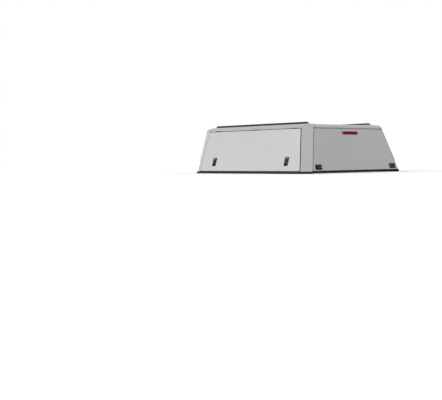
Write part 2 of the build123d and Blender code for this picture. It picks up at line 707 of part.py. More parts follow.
def hinge(length, knuckles, door_leaf_angle):
    """Hinge on a pin along local X: the leaf fixed to the roof edge and the leaf on the door.

    Local Y points out of the body and local Z up. The door's leaf slopes down by door_leaf_angle.
    """
    pitch = length / knuckles
    barrel = pitch - KNUCKLE_GAP

    def knuckle(i):
        x = (i - (knuckles - 1) / 2) * pitch
        return Pos(x, 0, 0) * Rot(0, 90, 0) * Cylinder(KNUCKLE_R, barrel)

    def strap(i, width, low, tilt):
        x = (i - (knuckles - 1) / 2) * pitch
        block = Box(barrel, width, LEAF, align=(Align.CENTER, Align.MAX, Align.MIN))
        return Rot(tilt, 0, 0) * Pos(x, 0, low) * block

    fixed_low = HINGE_GAP - LEAF
    leaf_start = KNUCKLE_R + LEAF_GAP
    behind = (Align.CENTER, Align.MAX, Align.MIN)
    fixed = Pos(0, -leaf_start, fixed_low) * Box(length, LEAF_WIDTH - leaf_start, LEAF, align=behind)
    door_plate = Box(length, DOOR_LEAF_WIDTH - leaf_start, LEAF, align=behind)
    moving = Rot(door_leaf_angle, 0, 0) * Pos(0, -leaf_start, -HINGE_GAP) * door_plate
    bore = Rot(0, 90, 0) * Cylinder(PIN_R + PIN_CLEARANCE, length + 2 * OVERCUT)
    for i in range(knuckles):
        if i % 2:
            fixed += knuckle(i) + strap(i, LEAF_WIDTH, fixed_low, 0)
        else:
            moving += knuckle(i) + strap(i, DOOR_LEAF_WIDTH, -HINGE_GAP, door_leaf_angle)
    pin = Rot(0, 90, 0) * Cylinder(PIN_R, length - 2 * KNUCKLE_GAP)
    return fixed + pin, moving - bore


def side_hinges():
    """Fixed and moving leaves of the right-hand door's hinges."""
    fixed, moving = hinge(SIDE_HINGE, SIDE_HINGE_KNUCKLES, SIDE_LEAN_DEG)
    axis = Plane((side_x(HINGE_Z), 0, HINGE_Z), x_dir=(0, -1, 0), z_dir=(0, 0, 1))
    first = SIDE_DOOR_REAR_Y + rear_y(HINGE_Z) + SIDE_HINGE_REAR
    last = door_front_y(HINGE_Z) - SIDE_HINGE_FRONT
    middle = (first + last) / 2 - SIDE_HINGE_SHIFT
    places = [Pos(0, y, 0) * axis.location for y in (first, middle, last)]
    return [p * fixed for p in places], [p * moving for p in places]


def rear_hinge():
    """Fixed and moving leaves of the rear door's long hinge."""
    length = 2 * (rear_door_half(REAR_DOOR_TOP) - REAR_HINGE_MARGIN)
    fixed, moving = hinge(length, REAR_HINGE_KNUCKLES, REAR_LEAN_DEG)
    axis = Plane((0, rear_y(HINGE_Z), HINGE_Z), x_dir=(-1, 0, 0), z_dir=(0, 0, 1))
    return axis.location * fixed, axis.location * moving


# Latches


def latch_hole():
    """Skin cut-out behind a latch, drawn with the latch's length along x."""
    length = BOWL_END - BOWL_START + 2 * (BOWL_WALL + HOLE_CLEARANCE)
    bowl = Rectangle(length, 2 * (BOWL_HALF_WIDTH + BOWL_WALL + BOWL_SIDE_CLEARANCE))
    barrel = Circle(BARREL_R + HOLE_CLEARANCE)
    return Pos((BOWL_START + BOWL_END) / 2, 0) * bowl + Pos(BARREL_ALONG, 0) * barrel


def latch_bezel():
    """Black bezel with a finger bowl and the paddle's pivot bores."""
    bezel = extrude(RectangleRounded(LATCH_LENGTH, LATCH_WIDTH, LATCH_R), LATCH_PROUD, dir=UP)
    bezel = fillet(bezel.faces().sort_by(Axis.Z)[-1].edges(), LATCH_EDGE_R)
    depth = BOWL_DEPTH + BOWL_WALL / 2
    bowl_middle = (BOWL_START + BOWL_END) / 2
    block = Box(BOWL_END - BOWL_START + 2 * BOWL_WALL, 2 * (BOWL_HALF_WIDTH + BOWL_WALL), depth + OVERCUT,
                align=(Align.CENTER, Align.CENTER, Align.MAX))
    bezel += Pos(bowl_middle, 0, OVERCUT) * block
    mouth = RectangleRounded(BOWL_END - BOWL_START, 2 * BOWL_HALF_WIDTH, BOWL_R)
    bezel -= Pos(bowl_middle, 0, -BOWL_DEPTH) * extrude(mouth, BOWL_DEPTH + LATCH_PROUD + OVERCUT, dir=UP)
    bezel -= Pos(BARREL_ALONG, 0, 0) * Cylinder(BARREL_R + HOLE_CLEARANCE / 2, 2 * (LATCH_PROUD + OVERCUT))
    bore = Rot(90, 0, 0) * Cylinder(PIN_R + PIN_CLEARANCE, 2 * (BOWL_HALF_WIDTH + PIVOT_BITE + PIVOT_END_GAP))
    return bezel - Pos(PIVOT_ALONG, 0, PIVOT_OUT) * bore


def latch_paddle():
    """Pull paddle on its pivot pin."""
    half = BOWL_HALF_WIDTH - PADDLE_GAP
    length = PADDLE_END - PIVOT_ALONG
    blade = Box(length, 2 * half, PADDLE, align=(Align.MIN, Align.CENTER, Align.MAX))
    blade = fillet(blade.edges().filter_by(Axis.Z).group_by(Axis.X)[-1], PADDLE_R)
    blade = Pos(PIVOT_ALONG, 0, PADDLE_PROUD) * blade
    boss = Rot(90, 0, 0) * Cylinder(BOSS_R, 2 * half)
    pin = Rot(90, 0, 0) * Cylinder(PIN_R, 2 * (BOWL_HALF_WIDTH + PIVOT_BITE))
    return blade + Pos(PIVOT_ALONG, 0, PIVOT_OUT) * (boss + pin)


def latch_barrel():
    """Key barrel beside the paddle."""
    barrel = Cylinder(BARREL_R, BARREL_PROUD + BARREL_BACK, align=(Align.CENTER, Align.CENTER, Align.MAX))
    slot = Box(KEY_SLOT, KEY_SLOT_WIDTH, KEY_SLOT_DEPTH, align=(Align.CENTER, Align.CENTER, Align.MAX))
    return Pos(BARREL_ALONG, 0, BARREL_PROUD) * (barrel - slot)


def side_latch_place(y):
    """Place of a side latch on its door, drawn on the door's plane: barrel at the top."""
    return Pos(y, SIDE_LATCH_UP) * Rot(0, 0, -90)


def rear_latch_place(side):
    """Place of a rear latch, drawn on the door's plane: barrel towards the middle of the door."""
    return Pos(side * (REAR_DOOR_HALF - REAR_LATCH_INSET), REAR_LATCH_UP) * Rot(0, 0, 0 if side > 0 else 180)


def latch_body():
    """Latch body on a door's inner panel, with the jaw that takes the striker.

    Local x runs along the frame member, y from its edge into the clear opening, and z out of the door.
    """
    inner = -DOOR_DEPTH - BODY_DEPTH
    block = Box(BODY_ALONG, BODY_ACROSS, BODY_DEPTH, align=(Align.CENTER, Align.MIN, Align.MIN))
    block = Pos(0, BODY_START, inner) * fillet(block.edges().filter_by(Axis.Z), BODY_EDGE_R)
    standing = (Align.CENTER, Align.CENTER, Align.MIN)
    jaw = Box(BODY_ALONG + 2 * OVERCUT, JAW_WIDTH, JAW_DEPTH + OVERCUT, align=standing)
    return block - Pos(0, JAW_ACROSS, inner - OVERCUT) * jaw


def striker():
    """Striker loop on its bracket, drawn like the latch body that it serves."""
    middle = JAW_DEPTH - BODY_DEPTH - DOOR_DEPTH - STRIKER_BED_GAP - STRIKER_R
    plate_top = middle - STRIKER_LEG
    foot_top = -FRAME_DEPTH - SHEET
    root = plate_top - BRACKET / 2
    legs = [(-STRIKER_HALF, JAW_ACROSS, root), (-STRIKER_HALF, JAW_ACROSS, middle),
            (STRIKER_HALF, JAW_ACROSS, middle), (STRIKER_HALF, JAW_ACROSS, root)]
    loop = sweep(Pos(*legs[0]) * Circle(STRIKER_R), path=FilletPolyline(*legs, radius=STRIKER_BEND_R))
    web = -BRACKET_SETBACK
    profile = [
        (web - BRACKET_FOOT, foot_top),
        (web, foot_top),
        (web, plate_top),
        (BRACKET_REACH, plate_top),
        (BRACKET_REACH, plate_top - BRACKET),
        (web - BRACKET, plate_top - BRACKET),
        (web - BRACKET, foot_top - BRACKET),
        (web - BRACKET_FOOT, foot_top - BRACKET),
    ]
    section = Plane((-BRACKET_HALF, 0, 0), x_dir=(0, 1, 0), z_dir=(1, 0, 0)) * polygon(profile)
    return loop + extrude(section, 2 * BRACKET_HALF, dir=(1, 0, 0))


def side_striker_place(y):
    """Place on the sill's edge, drawn on the side door's plane."""
    return Pos(y, FRAME_LAP)


def rear_striker_place():
    """Place on the right-hand jamb's edge, in line with that edge, drawn on the rear door's plane."""
    lean = atan(SIDE_LEAN * cos(REAR_ANGLE))
    return Pos(rear_door_half(REAR_LATCH_UP) - FRAME_LAP, REAR_LATCH_UP) * Rot(0, 0, 90 + degrees(lean))


def brake_light():
    """Red lens and its thin black base on the rear door."""
    up = REAR_DOOR_TOP - LAMP_DROP
    base = SlotOverall(LAMP_LENGTH + 2 * LAMP_BASE_EDGE, LAMP_HEIGHT + 2 * LAMP_BASE_EDGE)
    lens = extrude(SlotOverall(LAMP_LENGTH, LAMP_HEIGHT), LAMP_PROUD - LAMP_BASE, dir=UP)
    lens = fillet(lens.faces().sort_by(Axis.Z)[-1].edges(), LAMP_EDGE_R)
    lens = REAR_PLANE.location * Pos(0, up, LAMP_BASE) * lens
    return lens, plate(REAR_PLANE, Pos(0, up) * base, -LAMP_BASE, 0)


def rear_door_lower_seal():
    """Rubber strip below the rear door, which closes on the tailgate."""
    strip = Pos(0, -SWEEP_DROP / 2) * Rectangle(2 * (REAR_DOOR_HALF - SWEEP_END), SWEEP_DROP)
    return plate(REAR_PLANE, strip, SWEEP_SETBACK, SWEEP_SETBACK + SWEEP_SEAL)


# Base


def base_ring(outer_inset, inner_inset, low, high):
    """Band that follows the base outline in plan, open across the rear."""
    outline = offset(polygon(plan_points(BAND_TOP_Z)), BAND_STEP, kind=Kind.INTERSECTION)
    outer = offset(outline, -outer_inset, kind=Kind.INTERSECTION) if outer_inset else outline
    ring = prism(outer - offset(outline, -inner_inset, kind=Kind.INTERSECTION), low, high)
    mouth_half = HALF_WIDTH - CORNER_X - BASE_MOUTH_LAP
    return ring - Box(2 * mouth_half, 2 * CORNER_Y, REACH)


def base_rails():
    """Left, right and front base rails: outer band and foot flange, with clamp bolt holes."""
    ring = base_ring(0, RAIL_FOOT_WIDTH, RAIL_FOOT_Z, RAIL_FOOT_Z + RAIL_FOOT)
    ring += base_ring(0, BAND_SHEET, RAIL_FOOT_Z, BAND_TOP_Z)
    ring -= bolt_holes()
    return split_base(ring, RAIL_FOOT_WIDTH)


def base_seals():
    """Foam seal under the base rails."""
    ring = base_ring(BASE_SEAL_INSET, BASE_SEAL_INSET + BASE_SEAL_WIDTH, RAIL_FOOT_Z - BASE_SEAL, RAIL_FOOT_Z)
    return split_base(ring - bolt_holes(), RAIL_FOOT_WIDTH)


def bolt_holes():
    """Clamp bolt holes through the base."""
    side = HALF_WIDTH - BOLT_INSET
    places = [(x, y) for x in (-side, side) for y in (BOLT_SETBACK_REAR, LENGTH - BOLT_SETBACK_FRONT)]
    return [Pos(x, y, RAIL_FOOT_Z) * Cylinder(BOLT_HOLE_R, 2 * (BASE_SEAL + RAIL_FOOT)) for x, y in places]


def split_base(ring, depth):
    """Side pieces that run to the front, and a front piece between them."""
    cut_x = HALF_WIDTH - depth
    ahead = (Align.CENTER, Align.MIN, Align.CENTER)
    middle = Pos(0, LENGTH / 2) * Box(2 * (cut_x + FRAME_JOINT), REACH, REACH, align=ahead)
    right_half = Box(REACH, 2 * REACH, REACH, align=(Align.MIN, Align.CENTER, Align.CENTER))
    right = (ring - middle) & right_half
    front = ring & Pos(0, LENGTH / 2) * Box(2 * cut_x, REACH, REACH, align=ahead)
    return left_of(right), right, front


# Nodes


def build_nodes():
    """All pieces by name."""
    nodes = {}
    nodes["roof_panel"] = roof_panel()
    nodes["roof_bows"] = roof_bows()
    nodes["rear_header"] = rear_header()
    nodes["rear_frame"] = rear_frame()
    nodes["rear_door_seal"] = rear_seal()
    nodes["front_wall"] = front_wall()
    nodes["front_window_seal"] = front_window_seal()
    nodes["front_window_glass"] = front_window_glass()

    for side, rail in zip(("left", "right", "front"), base_rails()):
        nodes[f"base_rail_{side}"] = rail
    nodes["base_seal"] = list(base_seals())

    pairs = {
        "roof_rail": roof_rail(),
        "cant_rail": cant_rail(),
        "rear_pillar": rear_pillar(),
        "front_post": front_post(),
        "side_frame": side_frame(),
        "side_seal": side_seal(),
    }
    for name, shape in pairs.items():
        nodes[name + "_right"] = shape
        nodes[name + "_left"] = left_of(shape)

    add_side_door(nodes)
    add_rear_door(nodes)
    return nodes


def add_side_door(nodes):
    """Both side doors with their hinges, latches and strikers."""
    outline = side_door_outline()
    latch_y = (SIDE_DOOR_REAR_Y + SIDE_LATCH_INSET, SIDE_DOOR_FRONT_Y - SIDE_LATCH_INSET)
    holes = [side_latch_place(y) * latch_hole() for y in latch_y]
    places = [SIDE_PLANE.location * side_latch_place(y) for y in latch_y]
    seats = [SIDE_PLANE.location * side_striker_place(y) for y in latch_y]
    fixed, moving = side_hinges()
    bezel, paddle, barrel = latch_bezel(), latch_paddle(), latch_barrel()
    door = {
        "side_door_{}_skin": door_skin(SIDE_PLANE, outline, holes),
        "side_door_{}_inner_panel": door_inner_panel(SIDE_PLANE, outline, door_fields(outline, SIDE_FIELDS)),
        "side_door_{}_hinge_leaves": moving,
        "side_door_{}_latch_bezels": [p * bezel for p in places],
        "side_door_{}_lock_barrels": [p * barrel for p in places],
        "side_door_{}_latch_bodies": [p * latch_body() for p in seats],
        "side_latch_strikers_{}": [p * striker() for p in seats],
        "side_door_{}_rear_paddle": places[0] * paddle,
        "side_door_{}_front_paddle": places[1] * paddle,
        "side_hinge_pins_{}": fixed,
    }
    for name, shape in door.items():
        shapes = shape if isinstance(shape, list) else [shape]
        nodes[name.format("right")] = shapes
        nodes[name.format("left")] = [left_of(s) for s in shapes]


def add_rear_door(nodes):
    """Rear door with its hinge, latches, strikers, brake light and lower seal."""
    outline = rear_door_outline()
    holes = [rear_latch_place(side) * latch_hole() for side in (-1, 1)]
    places = [REAR_PLANE.location * rear_latch_place(side) for side in (-1, 1)]
    bezel, paddle, barrel = latch_bezel(), latch_paddle(), latch_barrel()
    lens, base = brake_light()
    nodes["rear_door_skin"] = door_skin(REAR_PLANE, outline, holes)
    nodes["rear_door_inner_panel"] = door_inner_panel(REAR_PLANE, outline, door_fields(outline, REAR_FIELDS))
    nodes["rear_hinge_pin"], nodes["rear_door_hinge_leaf"] = rear_hinge()
    nodes["rear_door_latch_bezels"] = [p * bezel for p in places]
    nodes["rear_door_lock_barrels"] = [p * barrel for p in places]
    seat = REAR_PLANE.location * rear_striker_place()
    nodes["rear_door_latch_bodies"] = [seat * latch_body(), left_of(seat * latch_body())]
    nodes["rear_latch_strikers"] = [seat * striker(), left_of(seat * striker())]
    nodes["rear_door_left_paddle"] = places[0] * paddle
    nodes["rear_door_right_paddle"] = places[1] * paddle
    nodes["brake_light_lens"] = lens
    nodes["brake_light_base"] = base
    nodes["rear_door_lower_seal"] = rear_door_lower_seal()


def origin_shift():
    """Move to the middle of the footprint, at the height of the base seal's underside."""
    rear = rear_y(BAND_TOP_Z) - BAND_STEP
    front = LENGTH + BAND_STEP
    return Pos(0, -(rear + front) / 2, -(RAIL_FOOT_Z - BASE_SEAL))


def main():
    os.makedirs("parts", exist_ok=True)
    shift = origin_shift()
    for name, shape in build_nodes().items():
        pieces = shape if isinstance(shape, list) else [shape]
        solids = [shift * solid for piece in pieces for solid in piece.solids()]
        export_step(Compound(children=solids), f"parts/{name}.step")


main()
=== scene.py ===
"""Looks of a pickup truck canopy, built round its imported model.

Lengths are in metres. +X is the vehicle's right, +Y points forward and +Z is up. The origin is at the
middle of the footprint, on the surface that the canopy stands on.
"""
import json
import math

import bmesh
import bpy
from mathutils import Matrix, Vector


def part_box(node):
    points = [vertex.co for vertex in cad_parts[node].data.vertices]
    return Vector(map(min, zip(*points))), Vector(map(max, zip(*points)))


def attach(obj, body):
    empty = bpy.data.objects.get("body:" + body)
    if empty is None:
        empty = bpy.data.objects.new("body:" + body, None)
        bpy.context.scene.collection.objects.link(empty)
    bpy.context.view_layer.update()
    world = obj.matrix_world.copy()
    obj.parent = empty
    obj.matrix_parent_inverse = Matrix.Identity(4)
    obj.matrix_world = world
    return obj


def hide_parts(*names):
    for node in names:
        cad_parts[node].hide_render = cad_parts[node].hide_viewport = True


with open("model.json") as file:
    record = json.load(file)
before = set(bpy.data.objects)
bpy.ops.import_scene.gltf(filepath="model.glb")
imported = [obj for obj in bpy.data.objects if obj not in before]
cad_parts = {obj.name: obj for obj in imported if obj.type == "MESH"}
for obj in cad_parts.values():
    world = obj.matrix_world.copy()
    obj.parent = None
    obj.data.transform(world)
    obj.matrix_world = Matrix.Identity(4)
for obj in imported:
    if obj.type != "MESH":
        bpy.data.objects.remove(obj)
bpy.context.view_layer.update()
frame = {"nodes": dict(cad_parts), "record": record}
NODES = frame["nodes"]
MM = 0.001
SIDES = {"left": -1, "right": 1}

# Body and doors, as they lie from the foot of the rear door
SIDE_LEAN = math.radians(17.98)
REAR_LEAN = math.radians(14.8)
FRONT_EDGE_LEAN = math.radians(1.75)
HALF_WIDTH = 867.0 * MM
LENGTH = 1912.0 * MM
FOOT_Y = -955.0753 * MM
FOOT_Z = 33.0 * MM
HINGE_UP = 490.0 * MM           # hinge axes above the doors' bottom edges
HINGE_GAP = 5.5 * MM
ROOF_EDGE_UP = HINGE_UP + HINGE_GAP
CORNER_X = 101.0 * MM           # rear corner facets, across and along the vehicle
CORNER_Y = 94.0 * MM
SIDE_GAP = 9.0 * MM             # rear corner to the side door
SIDE_DOOR_REAR = CORNER_Y + SIDE_GAP
SIDE_DOOR_FRONT = 1858.0 * MM
REAR_GAP = 8.0 * MM
REAR_DOOR_HALF = HALF_WIDTH - CORNER_X - REAR_GAP
DOOR_DEPTH = 26.0 * MM
FRAME_DEPTH = 34.0 * MM
SHEET = 3.0 * MM
FRAME_LAP = 40.0 * MM           # door edge to the edge of the clear opening
SEAL_MIDDLE = 22.0 * MM         # door edge to the middle of its seal
SEAL_HALF = 6.0 * MM
SEAL_TOP = 26.3 * MM            # depth of the seals' bulbs behind the outer face

# Latches, along each door and up its slope
SIDE_LATCHES = {"rear": 348.0 * MM, "front": 1613.0 * MM}
SIDE_LATCH_UP = 115.0 * MM
REAR_LATCH_X = 655.0 * MM
REAR_LATCH_UP = 42.0 * MM

# Camera, found from the vanishing points of the doors' edges
CAMERA_PLACE = (-8.2945, -8.0584, 0.1836)
CAMERA_RIGHT = (0.7550, -0.6556, -0.0119)
CAMERA_UP = (0.0385, 0.0262, 0.9989)
CAMERA_LENS = 74.7
CAMERA_SENSOR = 36.0

# Light
HORIZON_LEVEL = 0.86            # light of the surroundings near the floor
ZENITH_LEVEL = 0.66
BOX_FROM = (-0.93, 0.18, 0.05)  # middle of the large soft light on the left
BOX_LEVEL = 0.61
SUN_LEVEL = 0.73
SUN_FROM = (-0.93, 0.33, 0.22)
SUN_SOFTNESS = math.radians(45)
FLOOR_RADIUS = 40.0
FLOOR_FADE_START = 1.6
FLOOR_FADE_END = 3.5
FLOOR_LIFT = 0.20               # light added to the matt floor, where the camera sees it


# Materials


class Finish:
    """One procedural material, with short calls for adding and linking its nodes."""

    def __init__(self, name, **surface):
        self.material = bpy.data.materials.new(name)
        self.material.use_nodes = True
        self.tree = self.material.node_tree
        self.surface = self.tree.nodes["Principled BSDF"]
        self.place = self.add("ShaderNodeTexCoord").outputs["Object"]
        for name, value in surface.items():
            self.feed(self.surface.inputs[name.replace("_", " ").title().replace("Ior", "IOR")], value)

    def feed(self, socket, value):
        """Link an output to the socket, or set its value."""
        if isinstance(value, bpy.types.NodeSocket):
            self.tree.links.new(value, socket)
        else:
            socket.default_value = value

    def add(self, kind, inputs=(), **settings):
        """New node with its settings, and its inputs linked or set."""
        node = self.tree.nodes.new(kind)
        for name, value in settings.items():
            setattr(node, name, value)
        for name, value in dict(inputs).items():
            self.feed(node.inputs[name], value)
        return node

    def stretched(self, factors):
        """Object coordinates, scaled along each axis."""
        return self.add("ShaderNodeMapping", {"Vector": self.place, "Scale": factors}).outputs["Vector"]

    def noise(self, size, detail=2.0, roughness=0.5, place=None):
        """Cloudy pattern with features of the given size."""
        inputs = {"Vector": place or self.place, "Scale": 1 / size, "Detail": detail, "Roughness": roughness}
        return self.add("ShaderNodeTexNoise", inputs).outputs["Fac"]

    def cells(self, size, output="Color"):
        """Pattern of small cells, each with a random value."""
        return self.add("ShaderNodeTexVoronoi", {"Vector": self.place, "Scale": 1 / size}).outputs[output]

    def between(self, pattern, low, high, start=0.0, end=1.0):
        """Pattern mapped from start..end to two values, or to two colours."""
        if isinstance(low, (tuple, list)):
            ramp = self.add("ShaderNodeValToRGB", {"Fac": pattern})
            stops = ramp.color_ramp.elements
            stops[0].position, stops[1].position = start, end
            stops[0].color, stops[1].color = (*low, 1), (*high, 1)
            return ramp.outputs["Color"]
        inputs = {"Value": pattern, "From Min": start, "From Max": end, "To Min": low, "To Max": high}
        return self.add("ShaderNodeMapRange", inputs).outputs["Result"]

    def bump(self, height, distance, under=None, strength=1.0):
        """Bumps of the given depth, over another bump or the smooth surface."""
        inputs = {"Height": height, "Distance": distance, "Strength": strength}
        if under:
            inputs["Normal"] = under
        return self.add("ShaderNodeBump", inputs).outputs["Normal"]

    def colour(self, value):
        """Set or link the base colour."""
        self.feed(self.surface.inputs["Base Color"], value)

    def roughness(self, value):
        """Set or link the roughness."""
        self.feed(self.surface.inputs["Roughness"], value)

    def normal(self, value):
        """Link the bumps."""
        self.feed(self.surface.inputs["Normal"], value)


def shade(colour, factor):
    """Colour made darker or lighter by a factor."""
    return tuple(min(1.0, c * factor) for c in colour)


SILVER = (0.455, 0.460, 0.466)
SILVER_INSIDE = (0.400, 0.405, 0.412)


def silver_paint():
    """Silver body paint: fine metal flake under clear coat, with a trace of orange peel."""
    finish = Finish("silver_paint", metallic=0.30, coat_weight=0.55, coat_roughness=0.09)
    flake = finish.between(finish.cells(0.7 * MM), 0.0, 1.0)
    cloud = finish.noise(0.9, detail=3)
    mixed = finish.add("ShaderNodeMath", {0: flake, 1: cloud}, operation="MULTIPLY").outputs["Value"]
    finish.colour(finish.between(mixed, shade(SILVER, 0.93), shade(SILVER, 1.05), 0.05, 0.55))
    finish.roughness(finish.between(finish.noise(0.25, detail=5), 0.33, 0.43, 0.3, 0.7))
    peel = finish.bump(finish.noise(5 * MM, detail=1), 0.03 * MM)
    finish.normal(peel)
    finish.feed(finish.surface.inputs["Coat Normal"], peel)
    return finish.material


def inner_paint():
    """Silver-grey paint without clear coat, slightly dusty, on the inner pressings and frames."""
    finish = Finish("inner_paint", metallic=0.12)
    dust = finish.noise(0.12, detail=6, roughness=0.62)
    finish.colour(finish.between(dust, shade(SILVER_INSIDE, 0.9), shade(SILVER_INSIDE, 1.06), 0.3, 0.75))
    finish.roughness(finish.between(dust, 0.42, 0.60, 0.3, 0.7))
    finish.normal(finish.bump(finish.noise(2.2 * MM, detail=2), 0.05 * MM))
    return finish.material


def powder_coat(name, colour, roughness, grain, depth):
    """Black powder coat: pebbled surface, with faint dust that lies in patches."""
    finish = Finish(name, specular_ior_level=0.22)
    dust = finish.noise(0.06, detail=7, roughness=0.65)
    finish.colour(finish.between(dust, colour, shade(colour, 1.7), 0.45, 0.85))
    finish.roughness(finish.between(dust, roughness - 0.05, roughness + 0.12, 0.35, 0.75))
    pebbles = finish.cells(grain, "Distance")
    finish.normal(finish.bump(pebbles, depth))
    return finish.material


def rubber():
    """Extruded black rubber: matt, with fine grain and pale dust."""
    finish = Finish("black_rubber", specular_ior_level=0.15)
    dust = finish.noise(0.03, detail=8, roughness=0.7)
    finish.colour(finish.between(dust, (0.006, 0.006, 0.007), (0.020, 0.019, 0.018), 0.45, 0.8))
    finish.roughness(finish.between(dust, 0.62, 0.86, 0.3, 0.7))
    finish.normal(finish.bump(finish.noise(0.7 * MM, detail=3), 0.06 * MM))
    return finish.material


def foam():
    """Closed-cell foam tape: small open pits on its skin, each darkened towards its bottom with painted
    shade.
    """
    finish = Finish("black_foam", specular_ior_level=0.2)
    pits_and_shade = finish.cells(1.4 * MM, "Distance")
    # Colour darkest at each pit's middle, where the bump sinks it: painted shade in the pits
    finish.colour(finish.between(pits_and_shade, (0.010, 0.010, 0.010), (0.028, 0.028, 0.029), 0.1, 0.6))
    finish.roughness(0.9)
    finish.normal(finish.bump(pits_and_shade, 0.25 * MM))
    return finish.material


def moulded_plastic(name, colour, roughness, grain, depth):
    """Moulded black plastic with an even spark-eroded grain."""
    finish = Finish(name, specular_ior_level=0.28)
    wear = finish.noise(14 * MM, detail=5, roughness=0.6)
    finish.colour(finish.between(wear, colour, shade(colour, 1.45), 0.4, 0.8))
    finish.roughness(finish.between(wear, roughness - 0.06, roughness + 0.08, 0.3, 0.7))
    fine = finish.bump(finish.cells(grain, "Distance"), depth)
    finish.normal(finish.bump(finish.noise(3 * grain, detail=2), depth, under=fine))
    return finish.material


def plated_metal():
    """Plated lock metal: bright, with hairline polishing marks and slightly dull patches."""
    finish = Finish("plated_metal", metallic=1.0)
    marks = finish.noise(1.2 * MM, detail=3, place=finish.stretched((1.0, 1.0, 9.0)))
    dull = finish.noise(9 * MM, detail=4)
    finish.colour(finish.between(dull, (0.24, 0.24, 0.25), (0.36, 0.36, 0.37), 0.3, 0.7))
    finish.roughness(finish.between(marks, 0.16, 0.34, 0.3, 0.7))
    finish.normal(finish.bump(marks, 0.02 * MM))
    return finish.material


def zinc_bolt():
    """Passivated steel of the bolts inside: grey, with a mottled bloom."""
    finish = Finish("zinc_bolt", metallic=0.9)
    bloom = finish.noise(4 * MM, detail=6, roughness=0.65)
    finish.colour(finish.between(bloom, (0.30, 0.30, 0.31), (0.52, 0.52, 0.51), 0.3, 0.72))
    finish.roughness(finish.between(bloom, 0.30, 0.55, 0.3, 0.7))
    finish.normal(finish.bump(bloom, 0.05 * MM))
    return finish.material


def tinted_glass():
    """Dark safety glass with a very slight waviness and a film of dust."""
    finish = Finish("tinted_glass", transmission_weight=1.0, ior=1.5)
    film = finish.noise(0.15, detail=7, roughness=0.6)
    finish.colour(finish.between(film, (0.30, 0.32, 0.32), (0.36, 0.38, 0.38), 0.3, 0.8))
    finish.roughness(finish.between(film, 0.01, 0.06, 0.4, 0.8))
    finish.normal(finish.bump(finish.noise(0.12, detail=1), 0.02 * MM))
    return finish.material


def black_frit():
    """Black ceramic edge print of the glass."""
    finish = Finish("black_frit", specular_ior_level=0.5)
    speck = finish.noise(1.5 * MM, detail=3)
    finish.colour(finish.between(speck, (0.008, 0.008, 0.009), (0.016, 0.016, 0.016), 0.4, 0.7))
    finish.roughness(finish.between(speck, 0.22, 0.34, 0.3, 0.7))
    return finish.material


def red_lens():
    """Clear red moulded lens."""
    finish = Finish("red_lens", transmission_weight=0.95, ior=1.2, specular_ior_level=0.12)
    flow = finish.noise(0.05, detail=3)
    finish.colour(finish.between(flow, (0.80, 0.004, 0.008), (0.92, 0.008, 0.012), 0.3, 0.7))
    finish.roughness(finish.between(finish.noise(8 * MM, detail=4), 0.02, 0.07, 0.3, 0.7))
    finish.normal(finish.bump(finish.noise(20 * MM, detail=1), 0.03 * MM))
    return finish.material


def lamp_reflector():
    """Bright tray behind the lens."""
    finish = Finish("lamp_reflector", metallic=0.35)
    wave = finish.noise(6 * MM, detail=2)
    finish.colour(finish.between(wave, (0.86, 0.80, 0.80), (0.95, 0.92, 0.92), 0.3, 0.7))
    finish.roughness(finish.between(wave, 0.25, 0.4, 0.3, 0.7))
    return finish.material


def diode():
    """Dull clear resin over each diode."""
    finish = Finish("diode", specular_ior_level=0.2)
    cloud = finish.noise(2 * MM, detail=2)
    finish.colour(finish.between(cloud, (0.030, 0.008, 0.008), (0.045, 0.012, 0.012), 0.3, 0.7))
    finish.roughness(finish.between(cloud, 0.25, 0.45, 0.3, 0.7))
    return finish.material


def sealant():
    """Seam sealant under the silver paint: duller than the panels beside it, and coloured darker than them as
    painted shade along the seam.
    """
    finish = Finish("sealant", metallic=0.1)
    brushed = finish.noise(6 * MM, detail=3)
    # Silver darkened to 72–86 per cent: painted shade of the seam line, not a colour of the paint
    finish.colour(finish.between(brushed, shade(SILVER, 0.72), shade(SILVER, 0.86), 0.3, 0.7))
    finish.roughness(finish.between(brushed, 0.45, 0.62, 0.3, 0.7))
    finish.normal(finish.bump(brushed, 0.1 * MM))
    return finish.material


def lamp_board():
    """Dark board that carries the light-emitting diodes."""
    finish = Finish("lamp_board", specular_ior_level=0.15)
    weave = finish.noise(2 * MM, detail=3)
    finish.colour(finish.between(weave, (0.012, 0.004, 0.004), (0.022, 0.006, 0.006), 0.35, 0.7))
    finish.roughness(finish.between(weave, 0.35, 0.55, 0.3, 0.7))
    return finish.material


BLACK = (0.005, 0.005, 0.006)
FINISHES = {
    "painted_shell": silver_paint(),
    "painted_inner": inner_paint(),
    "black_rail": powder_coat("rail_powder_coat", (0.010, 0.010, 0.011), 0.50, 0.55 * MM, 0.05 * MM),
    "rubber_seal": rubber(),
    "black_hinge": powder_coat("hinge_powder_coat", BLACK, 0.45, 0.45 * MM, 0.03 * MM),
    "latch_plastic": moulded_plastic("bezel_plastic", (0.010, 0.010, 0.011), 0.46, 0.35 * MM, 0.05 * MM),
    "paddle_plastic": moulded_plastic("paddle_plastic", (0.016, 0.016, 0.017), 0.38, 0.30 * MM, 0.03 * MM),
    "lock_metal": plated_metal(),
    "tinted_glass": tinted_glass(),
    "red_lens": red_lens(),
}
REAR_HINGE = powder_coat("grey_powder_coat", (0.21, 0.21, 0.215), 0.42, 0.45 * MM, 0.02 * MM)
OTHER_FINISHES = {
    "base_seal": foam(),
    "rear_hinge_pin": REAR_HINGE,
    "rear_door_hinge_leaf": REAR_HINGE,
    "brake_light_base": moulded_plastic("red_plastic", (0.20, 0.008, 0.010), 0.40, 0.35 * MM, 0.02 * MM),
}                               # nodes that differ from the rest of their slot
ZINC = zinc_bolt()
DARK_SCREW = powder_coat("black_screw", (0.012, 0.012, 0.013), 0.38, 0.3 * MM, 0.02 * MM)

